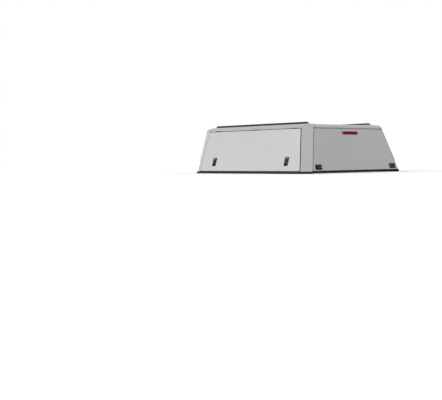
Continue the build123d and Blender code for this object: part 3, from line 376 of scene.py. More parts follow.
# Edge rounding of the carried-over nodes, by material slot
EDGE_RADII = {
    "painted_shell": 0.9 * MM,
    "painted_inner": 0.7 * MM,
    "black_rail": 0.8 * MM,
    "rubber_seal": 1.2 * MM,
    "black_hinge": 0.35 * MM,
    "latch_plastic": 0.4 * MM,
    "paddle_plastic": 0.5 * MM,
    "lock_metal": 0.3 * MM,
    "tinted_glass": 0.5 * MM,
    "red_lens": 0.0,
}
WELD_DISTANCE = 0.01 * MM
FLAT_ANGLE = math.radians(0.6)
EDGE_ANGLE = math.radians(32)


def dress_node(name, slot):
    """Gives a carried-over node its finish and rounded edges."""
    node = NODES[name]
    node.data.materials.clear()
    node.data.materials.append(OTHER_FINISHES.get(name, FINISHES[slot]))
    node.data.polygons.foreach_set("material_index", [0] * len(node.data.polygons))
    node.data.polygons.foreach_set("use_smooth", [True] * len(node.data.polygons))
    weld = node.modifiers.new("weld", "WELD")
    weld.merge_threshold = WELD_DISTANCE
    flats = node.modifiers.new("flats", "DECIMATE")
    flats.decimate_type = "DISSOLVE"
    flats.angle_limit = FLAT_ANGLE
    if EDGE_RADII[slot]:
        bevel = node.modifiers.new("edges", "BEVEL")
        bevel.width = EDGE_RADII[slot]
        bevel.segments = 2
        bevel.limit_method = "ANGLE"
        bevel.angle_limit = EDGE_ANGLE
        bevel.use_clamp_overlap = True
    normals = node.modifiers.new("normals", "WEIGHTED_NORMAL")
    normals.weight = 80
    normals.keep_sharp = False


# Mesh building


def outline_rounded(width, height, radius, steps=6):
    """Points round a rectangle with rounded corners, anticlockwise."""
    points = []
    corners = ((1, 1, 0), (-1, 1, 90), (-1, -1, 180), (1, -1, 270))
    for sign_x, sign_y, start in corners:
        centre_x, centre_y = sign_x * (width / 2 - radius), sign_y * (height / 2 - radius)
        for i in range(steps + 1):
            angle = math.radians(start + 90 * i / steps)
            points.append((centre_x + radius * math.cos(angle), centre_y + radius * math.sin(angle)))
    return points


def bridge(mesh, lower, upper):
    """Closed band of faces between two rings of vertices."""
    count = len(lower)
    for i in range(count):
        j = (i + 1) % count
        mesh.faces.new((lower[i], lower[j], upper[j], upper[i]))


def add_block(mesh, place, outline, low, high, chamfer=0.0):
    """Solid over an outline, with a chamfer round its top."""
    def shrunk(value, shrink):
        return value - math.copysign(min(shrink, abs(value)), value)

    def ring(shrink, z):
        return [mesh.verts.new(place @ Vector((shrunk(x, shrink), shrunk(y, shrink), z))) for x, y in outline]

    rings = [ring(0, low), ring(0, high - chamfer)]
    if chamfer:
        rings.append(ring(chamfer, high))
    for lower, upper in zip(rings, rings[1:]):
        bridge(mesh, lower, upper)
    mesh.faces.new(list(reversed(rings[0])))
    mesh.faces.new(rings[-1])


def inset_outline(points, distance):
    """Outline moved inward by a distance."""
    return [point + step * distance for point, step in zip(points, mitres(points, True))]


def mitres(path, closed):
    """Step at each point of a path that moves both its runs one unit to the left."""
    steps = []
    for i, point in enumerate(path):
        before = point - path[i - 1] if closed or i else path[1] - point
        after = path[(i + 1) % len(path)] - point if closed or i < len(path) - 1 else before
        a, b = (Vector((-run.y, run.x)).normalized() for run in (before, after))
        steps.append((a + b) / (1 + a.dot(b)))
    return steps


def rounded(points, radius, closed=True, steps=7):
    """Path through the points with its corners rounded."""
    path = []
    for i, corner in enumerate(points):
        if not closed and i in (0, len(points) - 1):
            path.append(corner)
            continue
        before = (points[i - 1] - corner).normalized()
        after = (points[(i + 1) % len(points)] - corner).normalized()
        half = before.angle(after) / 2
        centre = corner + (before + after).normalized() * radius / math.sin(half)
        reach = radius / math.tan(half)
        start, end = corner + before * reach - centre, corner + after * reach - centre
        turn = start.angle(end)
        for k in range(steps + 1):
            arm = start * math.sin((1 - k / steps) * turn) + end * math.sin(k / steps * turn)
            path.append(centre + arm / math.sin(turn))
    return path


def sweep(mesh, place, path, section, closed=True):
    """Solid along a flat path. The section gives offsets to the path's left and heights above its plane."""
    rings = [[mesh.verts.new(place @ Vector((*(point + step * a), height))) for a, height in section]
             for point, step in zip(path, mitres(path, closed))]
    for lower, upper in zip(rings, rings[1:]):
        bridge(mesh, lower, upper)
    if closed:
        bridge(mesh, rings[-1], rings[0])
    else:
        mesh.faces.new(list(reversed(rings[0])))
        mesh.faces.new(rings[-1])


def add_tube(mesh, points, radius, segments=8):
    """Thin tube through the points, with closed ends."""
    rings = []
    for i, point in enumerate(points):
        run = (points[min(i + 1, len(points) - 1)] - points[max(i - 1, 0)]).normalized()
        side = run.cross(Vector((0, 0, 1))).normalized()
        top = side.cross(run)
        rings.append([mesh.verts.new(point + radius * (side * math.cos(a) + top * math.sin(a)))
                      for a in (2 * math.pi * k / segments for k in range(segments))])
    for lower, upper in zip(rings, rings[1:]):
        bridge(mesh, lower, upper)
    mesh.faces.new(list(reversed(rings[0])))
    mesh.faces.new(rings[-1])


def add_turned(mesh, place, profile, segments=20):
    """Solid of revolution about local Z.

    The profile goes from the axis below to the axis on top, or round a ring that stays clear of the axis.
    """
    rings = []
    for radius, z in profile:
        if radius == 0:
            rings.append([mesh.verts.new(place @ Vector((0, 0, z)))])
            continue
        turn = 2 * math.pi / segments
        points = [(radius * math.cos(i * turn), radius * math.sin(i * turn), z) for i in range(segments)]
        rings.append([mesh.verts.new(place @ Vector(point)) for point in points])
    for lower, upper in zip(rings, rings[1:]):
        if len(lower) == 1:
            for i in range(segments):
                mesh.faces.new((lower[0], upper[(i + 1) % segments], upper[i]))
        elif len(upper) == 1:
            for i in range(segments):
                mesh.faces.new((lower[i], lower[(i + 1) % segments], upper[0]))
        else:
            bridge(mesh, lower, upper)
    if profile[0][0]:
        bridge(mesh, rings[-1], rings[0])


WASHER_THICK = 1.8 * MM
WASHER_CHAMFER = 0.4 * MM


def add_hexagon_bolt(mesh, place, across, height, washer):
    """Hexagon head on a round washer."""
    radius = across / 2 / math.cos(math.radians(30))
    hexagon = [(radius * math.cos(a), radius * math.sin(a)) for a in (math.radians(60 * i) for i in range(6))]
    edge = [(washer, WASHER_THICK - WASHER_CHAMFER), (washer - WASHER_CHAMFER, WASHER_THICK)]
    add_turned(mesh, place, [(0, 0), (washer, 0), *edge, (0, WASHER_THICK)])
    add_block(mesh, place, hexagon, WASHER_THICK, height, chamfer=0.7 * MM)


def add_screw(mesh, place, radius, height):
    """Domed screw head with a hexagon socket."""
    socket, depth = 0.45 * radius, 0.6 * height
    profile = [(0, 0), (radius, 0), (radius, 0.25 * height), (0.86 * radius, 0.72 * height),
               (0.6 * radius, height), (socket, height), (socket, height - depth), (0, height - depth)]
    add_turned(mesh, place, profile, segments=24)


def make_piece(name, mesh, material, body, smooth=math.radians(35)):
    """Turns a finished mesh into a named piece that rides on a body."""
    bmesh.ops.recalc_face_normals(mesh, faces=mesh.faces)
    data = bpy.data.meshes.new(name)
    mesh.to_mesh(data)
    mesh.free()
    data.materials.append(material)
    data.polygons.foreach_set("use_smooth", [True] * len(data.polygons))
    data.set_sharp_from_angle(angle=smooth)
    piece = bpy.data.objects.new(name, data)
    bpy.context.scene.collection.objects.link(piece)
    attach(piece, body)
    return piece


# Places on the body


def plane_at(origin, across, slope):
    """Matrix of a plane with its first axis across, its second up the slope and its third outward."""
    across, slope = Vector(across), Vector(slope)
    matrix = Matrix((across, slope, across.cross(slope))).transposed().to_4x4()
    matrix.translation = origin
    return matrix


MIRROR = Matrix.Diagonal((-1, 1, 1, 1))
SIDE_PLANE = plane_at((HALF_WIDTH, FOOT_Y, FOOT_Z), (0, 1, 0), (-math.sin(SIDE_LEAN), 0, math.cos(SIDE_LEAN)))
PLANES = {
    "right": SIDE_PLANE,
    "left": MIRROR @ SIDE_PLANE,
    "rear": plane_at((0, FOOT_Y, FOOT_Z), (1, 0, 0), (0, math.sin(REAR_LEAN), math.cos(REAR_LEAN))),
    "front": plane_at((0, FOOT_Y + LENGTH, FOOT_Z), (-1, 0, 0), (0, 0, 1)),
}
DOORS = {"left": "side_door_left", "right": "side_door_right", "rear": "rear_door"}
INWARD = Matrix.Rotation(math.pi, 4, "Y")
DOWNWARD = Matrix.Rotation(math.pi, 4, "X")
SIDE_DOOR_TOP = HINGE_UP / math.cos(SIDE_LEAN) - HINGE_GAP
REAR_DOOR_TOP = HINGE_UP / math.cos(REAR_LEAN) - HINGE_GAP
REAR_CORNER_SLOPE = math.tan(REAR_LEAN) * math.cos(SIDE_LEAN)
FRONT_CORNER_SLOPE = math.tan(FRONT_EDGE_LEAN) * math.cos(SIDE_LEAN)
JAMB_SLOPE = math.tan(SIDE_LEAN) * math.cos(REAR_LEAN)


def turned(degrees):
    """Turn about local Z."""
    return Matrix.Rotation(math.radians(degrees), 4, "Z")


def at(x, y, z=0.0):
    """Move along the local axes."""
    return Matrix.Translation((x, y, z))


def door_outline(name):
    """Corners of a door on its plane, anticlockwise."""
    if name == "rear":
        foot, top = rear_door_half(0), rear_door_half(REAR_DOOR_TOP)
        corners = [(-foot, 0), (foot, 0), (top, REAR_DOOR_TOP), (-top, REAR_DOOR_TOP)]
    else:
        rear, front = side_door_ends(SIDE_DOOR_TOP)
        corners = [(SIDE_DOOR_REAR, 0), (SIDE_DOOR_FRONT, 0), (front, SIDE_DOOR_TOP), (rear, SIDE_DOOR_TOP)]
    return [Vector(corner) for corner in corners]


def rear_door_half(up):
    """Half width of the rear door at a height up its slope."""
    return REAR_DOOR_HALF - JAMB_SLOPE * up


def side_door_ends(up):
    """Rear and front edge of a side door at a height up its slope."""
    return SIDE_DOOR_REAR + REAR_CORNER_SLOPE * up, SIDE_DOOR_FRONT - FRONT_CORNER_SLOPE * up


def latches():
    """Place of each latch, with its length along local X, its door's body and its paddle's body."""
    for side in SIDES:
        for end, along in SIDE_LATCHES.items():
            place = PLANES[side] @ at(along, SIDE_LATCH_UP) @ turned(-90)
            yield place, DOORS[side], f"{side}_{end}_paddle"
    for side, sign in SIDES.items():
        place = PLANES["rear"] @ at(sign * REAR_LATCH_X, REAR_LATCH_UP) @ turned(0 if sign > 0 else 180)
        yield place, DOORS["rear"], f"tail_{side}_paddle"


def latch_seats(name):
    """Places on the edge of a clear opening, beside its latch bodies and strikers."""
    if name == "rear":
        lean = 90 + math.degrees(math.atan(JAMB_SLOPE))
        seat = PLANES["rear"] @ at(rear_door_half(REAR_LATCH_UP) - FRAME_LAP, REAR_LATCH_UP) @ turned(lean)
        return [seat, MIRROR @ seat]
    return [PLANES[name] @ at(along, FRAME_LAP) for along in SIDE_LATCHES.values()]


# Pieces

RAIL_RISE = 21.0 * MM
RAIL_WIDTH = 38.0 * MM
RAIL_SLOPE_REAR = 24.0 * MM
RAIL_SLOPE_FRONT = 31.0 * MM
TRACK_SINK = 12.0 * MM
TRACK_BOLT_PITCH = 240.0 * MM


def rail_details():
    """End plates and track bolts of both roof rails."""
    for name in SIDES:
        low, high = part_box(f"roof_rail_{name}")
        middle_x = (low.x + high.x) / 2
        caps, screws = bmesh.new(), bmesh.new()
        for end_y, run in ((low.y, RAIL_SLOPE_REAR), (high.y, -RAIL_SLOPE_FRONT)):
            slope = Vector((0, run, RAIL_RISE))
            across = Vector((math.copysign(1, run), 0, 0))
            middle = Vector((middle_x, end_y, high.z - RAIL_RISE)) + slope / 2
            place = plane_at(middle, across, slope.normalized())
            plate = outline_rounded(RAIL_WIDTH - 4 * MM, slope.length - 5 * MM, 4 * MM)
            add_block(caps, place, plate, -0.5 * MM, 1.4 * MM, chamfer=0.5 * MM)
            add_screw(screws, place @ at(0, -4 * MM, 1.4 * MM), 3.6 * MM, 1.9 * MM)
        count = int((high.y - low.y) / TRACK_BOLT_PITCH)
        for i in range(count):
            y = low.y + (high.y - low.y) * (i + 0.5) / count
            add_screw(screws, at(middle_x, y, high.z - TRACK_SINK), 5 * MM, 3 * MM)
        make_piece(f"rail_end_plates_{name}", caps, FINISHES["latch_plastic"], "shell")
        make_piece(f"rail_screws_{name}", screws, ZINC, "shell")


LAMP_DROP = 50.8 * MM
LAMP_BASE = 3.0 * MM
TRAY_TOP = 3.0 * MM
BOARD_TOP = 3.8 * MM
TRAY_SIZE = (264.0 * MM, 26.0 * MM, 12.9 * MM)
BOARD_SIZE = (236.0 * MM, 22.0 * MM, 4.0 * MM)
LED_COUNT = 14
LED_PITCH = 15.0 * MM
LED_PROFILE = ((0, 0), (2.4 * MM, 0), (2.1 * MM, 0.5 * MM), (1.2 * MM, 1.0 * MM), (0, 1.2 * MM))


def lamp_details():
    """Reflector tray, diode board and diodes inside the brake light's lens."""
    place = PLANES["rear"] @ at(0, REAR_DOOR_TOP - LAMP_DROP, LAMP_BASE)
    tray, board, diodes = bmesh.new(), bmesh.new(), bmesh.new()
    add_block(tray, place, outline_rounded(*TRAY_SIZE), 0.3 * MM, TRAY_TOP)
    add_block(board, place, outline_rounded(*BOARD_SIZE), TRAY_TOP, BOARD_TOP, chamfer=0.3 * MM)
    for i in range(LED_COUNT):
        spot = place @ at((i - (LED_COUNT - 1) / 2) * LED_PITCH, 0, BOARD_TOP)
        add_turned(diodes, spot, LED_PROFILE)
    make_piece("brake_light_tray", tray, lamp_reflector(), DOORS["rear"])
    make_piece("brake_light_board", board, lamp_board(), DOORS["rear"])
    make_piece("brake_light_diodes", diodes, diode(), DOORS["rear"])


DOOR_SCREW_X = 85.0 * MM
DOOR_SCREW_UP = 45.0 * MM


def rear_door_screws():
    """Two small screws low on the rear door."""
    screws = bmesh.new()
    for x in (-DOOR_SCREW_X, DOOR_SCREW_X):
        add_screw(screws, PLANES["rear"] @ at(x, DOOR_SCREW_UP), 4.5 * MM, 2.2 * MM)
    make_piece("rear_door_screws", screws, ZINC, DOORS["rear"])


BEZEL_TOP = 5.0 * MM
BARREL_ALONG = -38.5 * MM
PADDLE_TOP = 6.5 * MM
GRIP_START = 13.0 * MM
GRIP_PITCH = 4.0 * MM
GRIP_COUNT = 4
RIB_SIZE = (1.6 * MM, 22.0 * MM, 0.7 * MM)
RING_PROFILE = (
    (7.3 * MM, -0.2 * MM), (9.4 * MM, -0.2 * MM), (9.4 * MM, 0.5 * MM), (9.0 * MM, 0.9 * MM),
    (7.6 * MM, 0.9 * MM), (7.3 * MM, 0.6 * MM),
)


def latch_details():
    """Ring round each lock barrel, and grip ribs on each paddle."""
    rings = {door: bmesh.new() for door in DOORS.values()}
    for place, door, paddle in latches():
        add_turned(rings[door], place @ at(BARREL_ALONG, 0, BEZEL_TOP), RING_PROFILE, segments=32)
        grip = bmesh.new()
        for i in range(GRIP_COUNT):
            spot = place @ at(GRIP_START + i * GRIP_PITCH, 0, PADDLE_TOP)
            add_block(grip, spot, outline_rounded(*RIB_SIZE), -0.2 * MM, 0.6 * MM, chamfer=0.3 * MM)
        make_piece(f"{paddle}_grip", grip, FINISHES["paddle_plastic"], paddle)
    for door, mesh in rings.items():
        make_piece(f"{door}_lock_rings", mesh, FINISHES["lock_metal"], door)


LATCH_BODY_INNER = 48.0 * MM
BODY_SCREW_ALONG = 14.0 * MM
BODY_SCREW_UP = 36.0 * MM
BRACKET_INNER = 40.0 * MM
BRACKET_BOLT_ALONG = 12.0 * MM
BRACKET_BOLT_UP = -16.0 * MM


def latch_screws():
    """Screws of the latch bodies on the doors, and of the striker brackets on the frames."""
    for name, door in DOORS.items():
        body_screws, bracket_screws = bmesh.new(), bmesh.new()
        for seat in latch_seats(name):
            for x in (-BODY_SCREW_ALONG, BODY_SCREW_ALONG):
                place = seat @ at(x, BODY_SCREW_UP, -LATCH_BODY_INNER) @ INWARD
                add_screw(body_screws, place, 3.4 * MM, 1.9 * MM)
            for x in (-BRACKET_BOLT_ALONG, BRACKET_BOLT_ALONG):
                place = seat @ at(x, BRACKET_BOLT_UP, -BRACKET_INNER) @ INWARD
                add_hexagon_bolt(bracket_screws, place, 10 * MM, 5.5 * MM, 7 * MM)
        make_piece(f"{door}_latch_screws", body_screws, ZINC, door)
        make_piece(f"striker_bolts_{name}", bracket_screws, ZINC, "shell")


SIDE_HINGES = (340.96 * MM, 991.0 * MM, 1677.03 * MM)
SIDE_HINGE_SCREWS = (-34.0 * MM, 0.0, 34.0 * MM)
REAR_HINGE_MARGIN = 40.7 * MM
REAR_HINGE_SCREWS = 10
LEAF_FACE = 3.0 * MM
FIXED_SCREW_Y = -22.0 * MM
MOVING_SCREW_Y = -13.5 * MM


def hinge_screws():
    """Countersunk screws in both leaves of every hinge."""
    side_x = HALF_WIDTH - math.tan(SIDE_LEAN) * HINGE_UP
    side_axis = plane_at((side_x, FOOT_Y, FOOT_Z + HINGE_UP), (0, -1, 0), (1, 0, 0))
    for side in SIDES:
        mirror = MIRROR if side == "left" else Matrix.Identity(4)
        places = [mirror @ side_axis @ at(-along, 0) for along in SIDE_HINGES]
        hinge_screw_pair(side, places, SIDE_HINGE_SCREWS, SIDE_LEAN)
    half = rear_door_half(REAR_DOOR_TOP) - REAR_HINGE_MARGIN
    spots = [half * (2 * (i + 0.5) / REAR_HINGE_SCREWS - 1) for i in range(REAR_HINGE_SCREWS)]
    rear_y = FOOT_Y + math.tan(REAR_LEAN) * HINGE_UP
    rear_axis = plane_at((0, rear_y, FOOT_Z + HINGE_UP), (-1, 0, 0), (0, -1, 0))
    hinge_screw_pair("rear", [rear_axis], spots, REAR_LEAN)


def hinge_screw_pair(name, places, spots, lean):
    """Screws of the fixed and the moving leaves. Local X runs along the pin and Y points out of the body."""
    fixed, moving = bmesh.new(), bmesh.new()
    for place in places:
        for x in spots:
            add_screw(fixed, place @ at(x, FIXED_SCREW_Y, LEAF_FACE) @ DOWNWARD, 3.8 * MM, 1.2 * MM)
            leaf = place @ Matrix.Rotation(lean, 4, "X")
            add_screw(moving, leaf @ at(x, MOVING_SCREW_Y, -LEAF_FACE), 3.2 * MM, 1.0 * MM)
    make_piece(f"hinge_screws_fixed_{name}", fixed, DARK_SCREW, "shell")
    make_piece(f"hinge_screws_door_{name}", moving, DARK_SCREW, DOORS[name])


CLIP_INSET = 58.0 * MM
CLIP_PITCH = 290.0 * MM
CLIP_KEEP_OFF = 55.0 * MM       # from the middle of a latch
CLIP_PROFILE = (
    (0, 0), (6.0 * MM, 0), (6.0 * MM, 0.7 * MM), (4.6 * MM, 1.6 * MM),
    (2.2 * MM, 2.0 * MM), (2.0 * MM, 1.4 * MM), (0, 1.4 * MM),
)


def panel_clips():
    """Push clips round the inner panel of each door."""
    for name, door in DOORS.items():
        clips = bmesh.new()
        seats = [PLANES[name].inverted() @ seat.translation for seat in latch_seats(name)]
        corners = inset_outline(door_outline(name), CLIP_INSET)
        for start, end in zip(corners, corners[1:] + corners[:1]):
            count = max(2, round((end - start).length / CLIP_PITCH))
            for i in range(count):
                spot = start.lerp(end, i / count)
                if all((spot - seat.xy).length > CLIP_KEEP_OFF for seat in seats):
                    place = PLANES[name] @ at(*spot, -DOOR_DEPTH) @ INWARD
                    add_turned(clips, place, CLIP_PROFILE)
        make_piece(f"{door}_panel_clips", clips, FINISHES["latch_plastic"], door)


SILL_BOLTS = (215.0 * MM, 560.0 * MM, 980.0 * MM, 1400.0 * MM, 1745.0 * MM)
JAMB_BOLTS = (150.0 * MM, 320.0 * MM)
BOLT_INSET = 20.0 * MM


def frame_bolts():
    """Hexagon bolts through the door frames, on their inner faces."""
    depth = -(FRAME_DEPTH + SHEET)
    for name in DOORS:
        spots = []
        if name != "rear":
            spots += [(along, BOLT_INSET) for along in SILL_BOLTS]
        for up in JAMB_BOLTS:
            ends = (-rear_door_half(up), rear_door_half(up)) if name == "rear" else side_door_ends(up)
            spots += [(ends[0] + BOLT_INSET, up), (ends[1] - BOLT_INSET, up)]
        bolts = bmesh.new()
        for spot in spots:
            add_hexagon_bolt(bolts, PLANES[name] @ at(*spot, depth) @ INWARD, 13 * MM, 7.1 * MM, 9 * MM)
        make_piece(f"frame_bolts_{name}", bolts, ZINC, "shell")


BULB_STEPS = 12


def bulb_section(half, low, high):
    """Section of a door seal: flat foot and hollow-looking round bulb, as offsets and heights."""
    lip = low + 1.4 * MM
    arc = [(0.8 * half * math.cos(t), lip + (high - lip) * math.sin(t))
           for t in (math.pi * i / BULB_STEPS for i in range(BULB_STEPS + 1))]
    return [(half, low), (half, lip), *arc, (-half, lip), (-half, low)]


SEAL_CORNER_R = 26.0 * MM
REAR_SEAL_START = 84.0 * MM


def door_seals():
    """Bulb seals on the door frames."""
    section = bulb_section(SEAL_HALF, -FRAME_DEPTH, -SEAL_TOP)
    for side in SIDES:
        seal = bmesh.new()
        path = rounded(inset_outline(door_outline(side), SEAL_MIDDLE), SEAL_CORNER_R)
        sweep(seal, PLANES[side], path, section)
        piece = make_piece(f"side_bulb_seal_{side}", seal, FINISHES["rubber_seal"], "shell")
        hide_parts(f"side_seal_{side}")
    seal = bmesh.new()
    low_left, low_right, top_right, top_left = inset_outline(door_outline("rear"), SEAL_MIDDLE)
    share = (REAR_SEAL_START - low_right.y) / (top_right.y - low_right.y)
    path = [low_right.lerp(top_right, share), top_right, top_left, low_left.lerp(top_left, share)]
    sweep(seal, PLANES["rear"], rounded(path, SEAL_CORNER_R, closed=False), section, closed=False)
    piece = make_piece("rear_bulb_seal", seal, FINISHES["rubber_seal"], "shell")
    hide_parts("rear_door_seal")


SWEEP_HALF = 744.0 * MM
SWEEP_BULB = 8.0 * MM
SWEEP_NECK = 3.0 * MM
SWEEP_STEPS = 16
SWEEP_MIDDLE = (-14.0 * MM, -10.0 * MM)


def lower_seal():
    """Bulb strip along the rear door's bottom edge."""
    neck = math.asin(SWEEP_NECK / SWEEP_BULB)
    arc = [(SWEEP_MIDDLE[0] + SWEEP_BULB * math.cos(t), SWEEP_MIDDLE[1] + SWEEP_BULB * math.sin(t))
           for t in (neck + (2 * math.pi - 2 * neck) * i / SWEEP_STEPS for i in range(SWEEP_STEPS + 1))]
    foot = [(0, -16 * MM), (0, -4 * MM), (-3 * MM, -4 * MM), (-4.5 * MM, -7 * MM)]
    section = [*foot, *arc, (-4.5 * MM, -13 * MM), (-3 * MM, -16 * MM)]
    seal = bmesh.new()
    sweep(seal, PLANES["rear"], [Vector((-SWEEP_HALF, 0)), Vector((SWEEP_HALF, 0))], section, closed=False)
    piece = make_piece("rear_door_lower_bulb", seal, FINISHES["rubber_seal"], DOORS["rear"])
    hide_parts("rear_door_lower_seal")


WINDOW_SIZE = (1040.0 * MM, 290.0 * MM)
WINDOW_UP = 262.0 * MM
WINDOW_R = 45.0 * MM
WINDOW_SECTION = (
    (-7.0, 0.02), (-6.6, 1.6), (-4.5, 2.8), (-1.0, 3.0), (0.6, 2.3), (4.4, 2.3), (6.3, 1.6), (7.0, -2.9),
    (1.1, -2.9), (1.1, -7.1), (7.0, -7.1), (6.6, -9.2), (4.5, -10.0), (-4.5, -10.0), (-6.6, -9.2),
    (-7.0, -3.02), (-0.05, -3.02), (-0.05, 0.02),
)                               # inward of the cut-out and proud of the wall, in millimetres
FILLER_SECTION = ((0.4, 2.2), (0.7, 3.1), (1.7, 3.7), (3.3, 3.7), (4.3, 3.1), (4.6, 2.2))
FRIT_SECTION = ((6.5, -7.03), (30.0, -7.03), (30.0, -7.14), (6.5, -7.14))


def window_trim():
    """Rubber frame of the front window with its filler strip, and the glass's black edge print."""
    path = [Vector((x, y + WINDOW_UP)) for x, y in outline_rounded(*WINDOW_SIZE, WINDOW_R, steps=10)]

    def ring(name, section, material, slot):
        mesh = bmesh.new()
        sweep(mesh, PLANES["front"], path, [(a * MM, out * MM) for a, out in section])
        return make_piece(name, mesh, material, "shell")

    frame_piece = ring("front_window_rubber", WINDOW_SECTION, FINISHES["rubber_seal"], "rubber_seal")
    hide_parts("front_window_seal")
    ring("front_window_filler", FILLER_SECTION, FINISHES["latch_plastic"], "rubber_seal")
    ring("front_window_frit", FRIT_SECTION, black_frit(), "tinted_glass")


STRIP_TOP = 0.6 * MM
STRIP_BOTTOM = 14.0 * MM
STRIP_END = 2.0 * MM            # from the door's corner to the end of a strip
DOOR_CLEARANCE = 5.0 * MM
TRIM_WIDTH = 0.9 * MM
TRIM_LAP = 3.2 * MM
TRIM_SECTION = (
    (-TRIM_LAP, 0.02 * MM), (-TRIM_LAP + 0.3 * MM, 0.6 * MM), (0.3 * MM, 0.7 * MM), (TRIM_WIDTH, 0.2 * MM),
    (TRIM_WIDTH, -13 * MM), (0, -13.5 * MM), (0, 0.02 * MM),
)                               # rearward of the door's edge and proud of its face
STRIP_WIDTH = DOOR_CLEARANCE + TRIM_WIDTH - SIDE_GAP


def gap_shade_strips():
    """Black rubber strips on the edges of the rear corners, beside the side and rear doors, and black edge
    trim on the side doors' upright edges: partly seals, partly painted shade that darkens the gaps.
    """
    for side in SIDES:
        corner, edge = bmesh.new(), bmesh.new()
        path = [Vector((side_door_ends(up)[0], up)) for up in (STRIP_END, SIDE_DOOR_TOP - STRIP_END)]
        add_strip(corner, PLANES[side], [point - Vector((SIDE_GAP, 0)) for point in path], STRIP_WIDTH)
        # Black trim on the door's edge, seen through the gap: painted shade inside the gap
        sweep(edge, PLANES[side], path, TRIM_SECTION, closed=False)
        make_piece(f"side_gap_strips_{side}", corner, FINISHES["rubber_seal"], "shell")
        make_piece(f"side_edge_shade_trim_{side}", edge, FINISHES["rubber_seal"], DOORS[side])
    mesh = bmesh.new()
    for sign in SIDES.values():
        path = [Vector((sign * (rear_door_half(up) + REAR_GAP), up)) for up in (STRIP_END, REAR_DOOR_TOP)]
        # Black strips beside the rear door: painted shade in these gaps as well
        add_strip(mesh, PLANES["rear"], path, sign * (REAR_GAP - DOOR_CLEARANCE))
    make_piece("rear_gap_strips", mesh, FINISHES["rubber_seal"], "shell")


def add_strip(mesh, place, path, width):
    """Half-round strip along an edge, to the left of the path, or to the right if width is negative."""
    section = [(0, -STRIP_TOP), (0.7 * width, -STRIP_TOP - 0.2 * MM), (0.95 * width, -STRIP_TOP - 1 * MM),
               (width, -STRIP_TOP - 4 * MM), (0.9 * width, -STRIP_BOTTOM + 1 * MM), (0, -STRIP_BOTTOM)]
    sweep(mesh, place, path, section, closed=False)


LIP_TOP = ROOF_EDGE_UP / math.cos(SIDE_LEAN)
LIP_DROP = 3.0 * MM
HINGE_HALF = 51.0 * MM


def roof_lips():
    """Painted drip lips under the roof's side edges, between the hinges."""
    section = [(0.4 * MM, -0.3 * MM), (-0.85 * LIP_DROP, -0.3 * MM), (-LIP_DROP, -0.8 * MM),
               (-LIP_DROP, -1.9 * MM), (0.4 * MM, -1.9 * MM)]
    rear, front = side_door_ends(SIDE_DOOR_TOP)
    stops = [rear, *(x for middle in SIDE_HINGES for x in (middle - HINGE_HALF, middle + HINGE_HALF)), front]
    for side in SIDES:
        lips = bmesh.new()
        for start, end in zip(stops[::2], stops[1::2]):
            path = [Vector((start, LIP_TOP)), Vector((end, LIP_TOP))]
            sweep(lips, PLANES[side], path, section, closed=False)
        make_piece(f"roof_lips_{side}", lips, FINISHES["painted_shell"], "shell")


SHOULDER = (18.0 * MM, 17.0 * MM)
CROWN_UP = 546.0 * MM
CROWN_SLOPE = math.radians(1.7)
CURVE_SIDE = 134.2 * MM
CURVE_REAR = 131.1 * MM
BEAD_R = 1.3 * MM
BEAD_POINTS = 36


def roof_height(inward, curve):
    """Height of the roof at a distance in from its edge. The curve up to the flat top has a given width."""
    if inward <= SHOULDER[0]:
        return ROOF_EDGE_UP + inward * SHOULDER[1] / SHOULDER[0]
    run = Vector((SHOULDER[0] - curve, ROOF_EDGE_UP + SHOULDER[1] - CROWN_UP))
    down = Vector((math.sin(CROWN_SLOPE), -math.cos(CROWN_SLOPE)))
    radius = run.length_squared / (2 * run.dot(down))
    centre = Vector((curve, CROWN_UP)) + down * radius
    return centre.y + math.sqrt(radius**2 - (inward - centre.x) ** 2)


def arch_point(share):
    """Point on the seam between the right-hand rear corner facet and the roof."""
    up = ROOF_EDGE_UP
    for _ in range(12):
        rise = up - ROOF_EDGE_UP
        from_side = math.tan(SIDE_LEAN) * rise + CORNER_X * share
        from_rear = math.tan(REAR_LEAN) * rise + CORNER_Y * (1 - share)
        up = min(roof_height(from_side, CURVE_SIDE), roof_height(from_rear, CURVE_REAR))
    x = HALF_WIDTH - math.tan(SIDE_LEAN) * up - CORNER_X * share
    y = FOOT_Y + math.tan(REAR_LEAN) * up + CORNER_Y * (1 - share)
    return Vector((x, y, FOOT_Z + up))


def arch_beads():
    """Painted sealant bead along the arched seams of the rear corners, coloured darker than the panels as
    painted shade of the seams.
    """
    mesh = bmesh.new()
    points = [arch_point(i / BEAD_POINTS) for i in range(BEAD_POINTS + 1)]
    for mirror in (Matrix.Identity(4), MIRROR):
        add_tube(mesh, [mirror @ point for point in points], BEAD_R)
    make_piece("arch_sealant", mesh, sealant(), "shell")


def stage():
    """Pale floor, white surroundings, and one soft key light from the vehicle's left."""
    floor_mesh = bmesh.new()
    bmesh.ops.create_circle(floor_mesh, cap_ends=True, segments=64, radius=FLOOR_RADIUS)
    data = bpy.data.meshes.new("floor")
    floor_mesh.to_mesh(data)
    floor_mesh.free()
    floor = bpy.data.objects.new("floor", data)
    bpy.context.scene.collection.objects.link(floor)
    data.materials.append(floor_material())
    light_world()
    sun = bpy.data.objects.new("key", bpy.data.lights.new("key", "SUN"))
    sun.data.energy = SUN_LEVEL
    sun.data.angle = SUN_SOFTNESS
    sun.rotation_euler = Vector(SUN_FROM).to_track_quat("Z", "Y").to_euler()
    bpy.context.scene.collection.objects.link(sun)


def seen_rays(nodes, links):
    """1 for camera and transmission rays, 0 for the rays that light or reflect in surfaces."""
    path = nodes.new("ShaderNodeLightPath")
    larger = nodes.new("ShaderNodeMath")
    larger.operation = "MAXIMUM"
    links.new(path.outputs["Is Camera Ray"], larger.inputs[0])
    links.new(path.outputs["Is Transmission Ray"], larger.inputs[1])
    return larger.outputs["Value"]


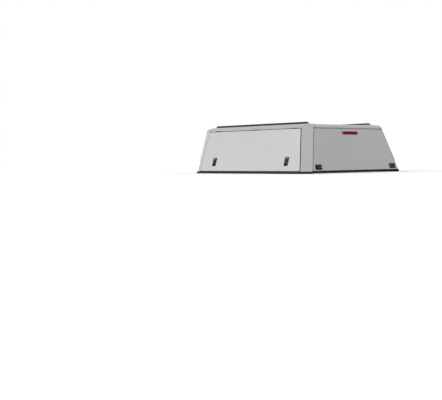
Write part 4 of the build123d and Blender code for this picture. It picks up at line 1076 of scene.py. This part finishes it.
def map_range(nodes, links, source, start, end, low, high):
    """Value mapped smoothly from start..end to low..high."""
    node = nodes.new("ShaderNodeMapRange")
    node.interpolation_type = "SMOOTHSTEP"
    links.new(source, node.inputs["Value"])
    for name, value in (("From Min", start), ("From Max", end), ("To Min", low), ("To Max", high)):
        node.inputs[name].default_value = value
    return node.outputs["Result"]


def floor_material():
    """Matt white floor that fades to plain white away from the object."""
    material = bpy.data.materials.new("floor")
    material.use_nodes = True
    nodes, links = material.node_tree.nodes, material.node_tree.links
    nodes.remove(nodes["Principled BSDF"])
    matt = nodes.new("ShaderNodeBsdfDiffuse")
    matt.inputs["Color"].default_value = (0.88, 0.88, 0.88, 1)
    place = nodes.new("ShaderNodeTexCoord")
    distance = nodes.new("ShaderNodeVectorMath")
    distance.operation = "LENGTH"
    links.new(place.outputs["Object"], distance.inputs[0])
    away = distance.outputs["Value"]
    lift = map_range(nodes, links, away, FLOOR_FADE_START, FLOOR_FADE_END, FLOOR_LIFT, 1.0)
    share = nodes.new("ShaderNodeMath")
    share.operation = "MULTIPLY"
    links.new(lift, share.inputs[0])
    links.new(seen_rays(nodes, links), share.inputs[1])
    white = nodes.new("ShaderNodeEmission")
    links.new(share.outputs["Value"], white.inputs["Strength"])
    total = nodes.new("ShaderNodeAddShader")
    links.new(matt.outputs["BSDF"], total.inputs[0])
    links.new(white.outputs["Emission"], total.inputs[1])
    links.new(total.outputs["Shader"], nodes["Material Output"].inputs["Surface"])
    return material


def light_world():
    """Pale surroundings, darker overhead and brighter on the left, seen as plain white."""
    world = bpy.data.worlds.new("surroundings")
    bpy.context.scene.world = world
    world.use_nodes = True
    nodes, links = world.node_tree.nodes, world.node_tree.links
    direction = nodes.new("ShaderNodeTexCoord").outputs["Generated"]
    facing = nodes.new("ShaderNodeVectorMath")
    facing.operation = "DOT_PRODUCT"
    facing.inputs[1].default_value = Vector(BOX_FROM).normalized()
    links.new(direction, facing.inputs[0])
    split = nodes.new("ShaderNodeSeparateXYZ")
    links.new(direction, split.inputs["Vector"])
    overhead = map_range(nodes, links, split.outputs["Z"], 0.0, 0.9, HORIZON_LEVEL, ZENITH_LEVEL)
    box = map_range(nodes, links, facing.outputs["Value"], 0.10, 0.95, 0.0, BOX_LEVEL)
    level = nodes.new("ShaderNodeMath")
    level.operation = "ADD"
    links.new(overhead, level.inputs[0])
    links.new(box, level.inputs[1])
    shown = nodes.new("ShaderNodeMix")
    links.new(seen_rays(nodes, links), shown.inputs["Factor"])
    links.new(level.outputs["Value"], shown.inputs["A"])
    shown.inputs["B"].default_value = 1.0
    background = nodes["Background"]
    background.inputs["Color"].default_value = (1, 1, 1, 1)
    links.new(shown.outputs["Result"], background.inputs["Strength"])


def camera():
    """Camera at the photograph's place and angle."""
    right, up = Vector(CAMERA_RIGHT), Vector(CAMERA_UP)
    back = right.cross(up)
    data = bpy.data.cameras.new("camera")
    data.lens = CAMERA_LENS
    data.sensor_width = CAMERA_SENSOR
    data.clip_start = 0.05
    data.clip_end = 200.0
    view = bpy.data.objects.new("camera", data)
    view.matrix_world = Matrix.Translation(CAMERA_PLACE) @ Matrix((right, up, back)).transposed().to_4x4()
    bpy.context.scene.collection.objects.link(view)
    bpy.context.scene.camera = view


for row in frame["record"]["subparts"]:
    dress_node(row["node"], row["material_slot"])
door_seals()
lower_seal()
window_trim()
gap_shade_strips()
roof_lips()
arch_beads()
rail_details()
latch_details()
latch_screws()
hinge_screws()
panel_clips()
frame_bolts()
lamp_details()
rear_door_screws()
stage()
camera()
bpy.context.scene.view_settings.view_transform = "Standard"
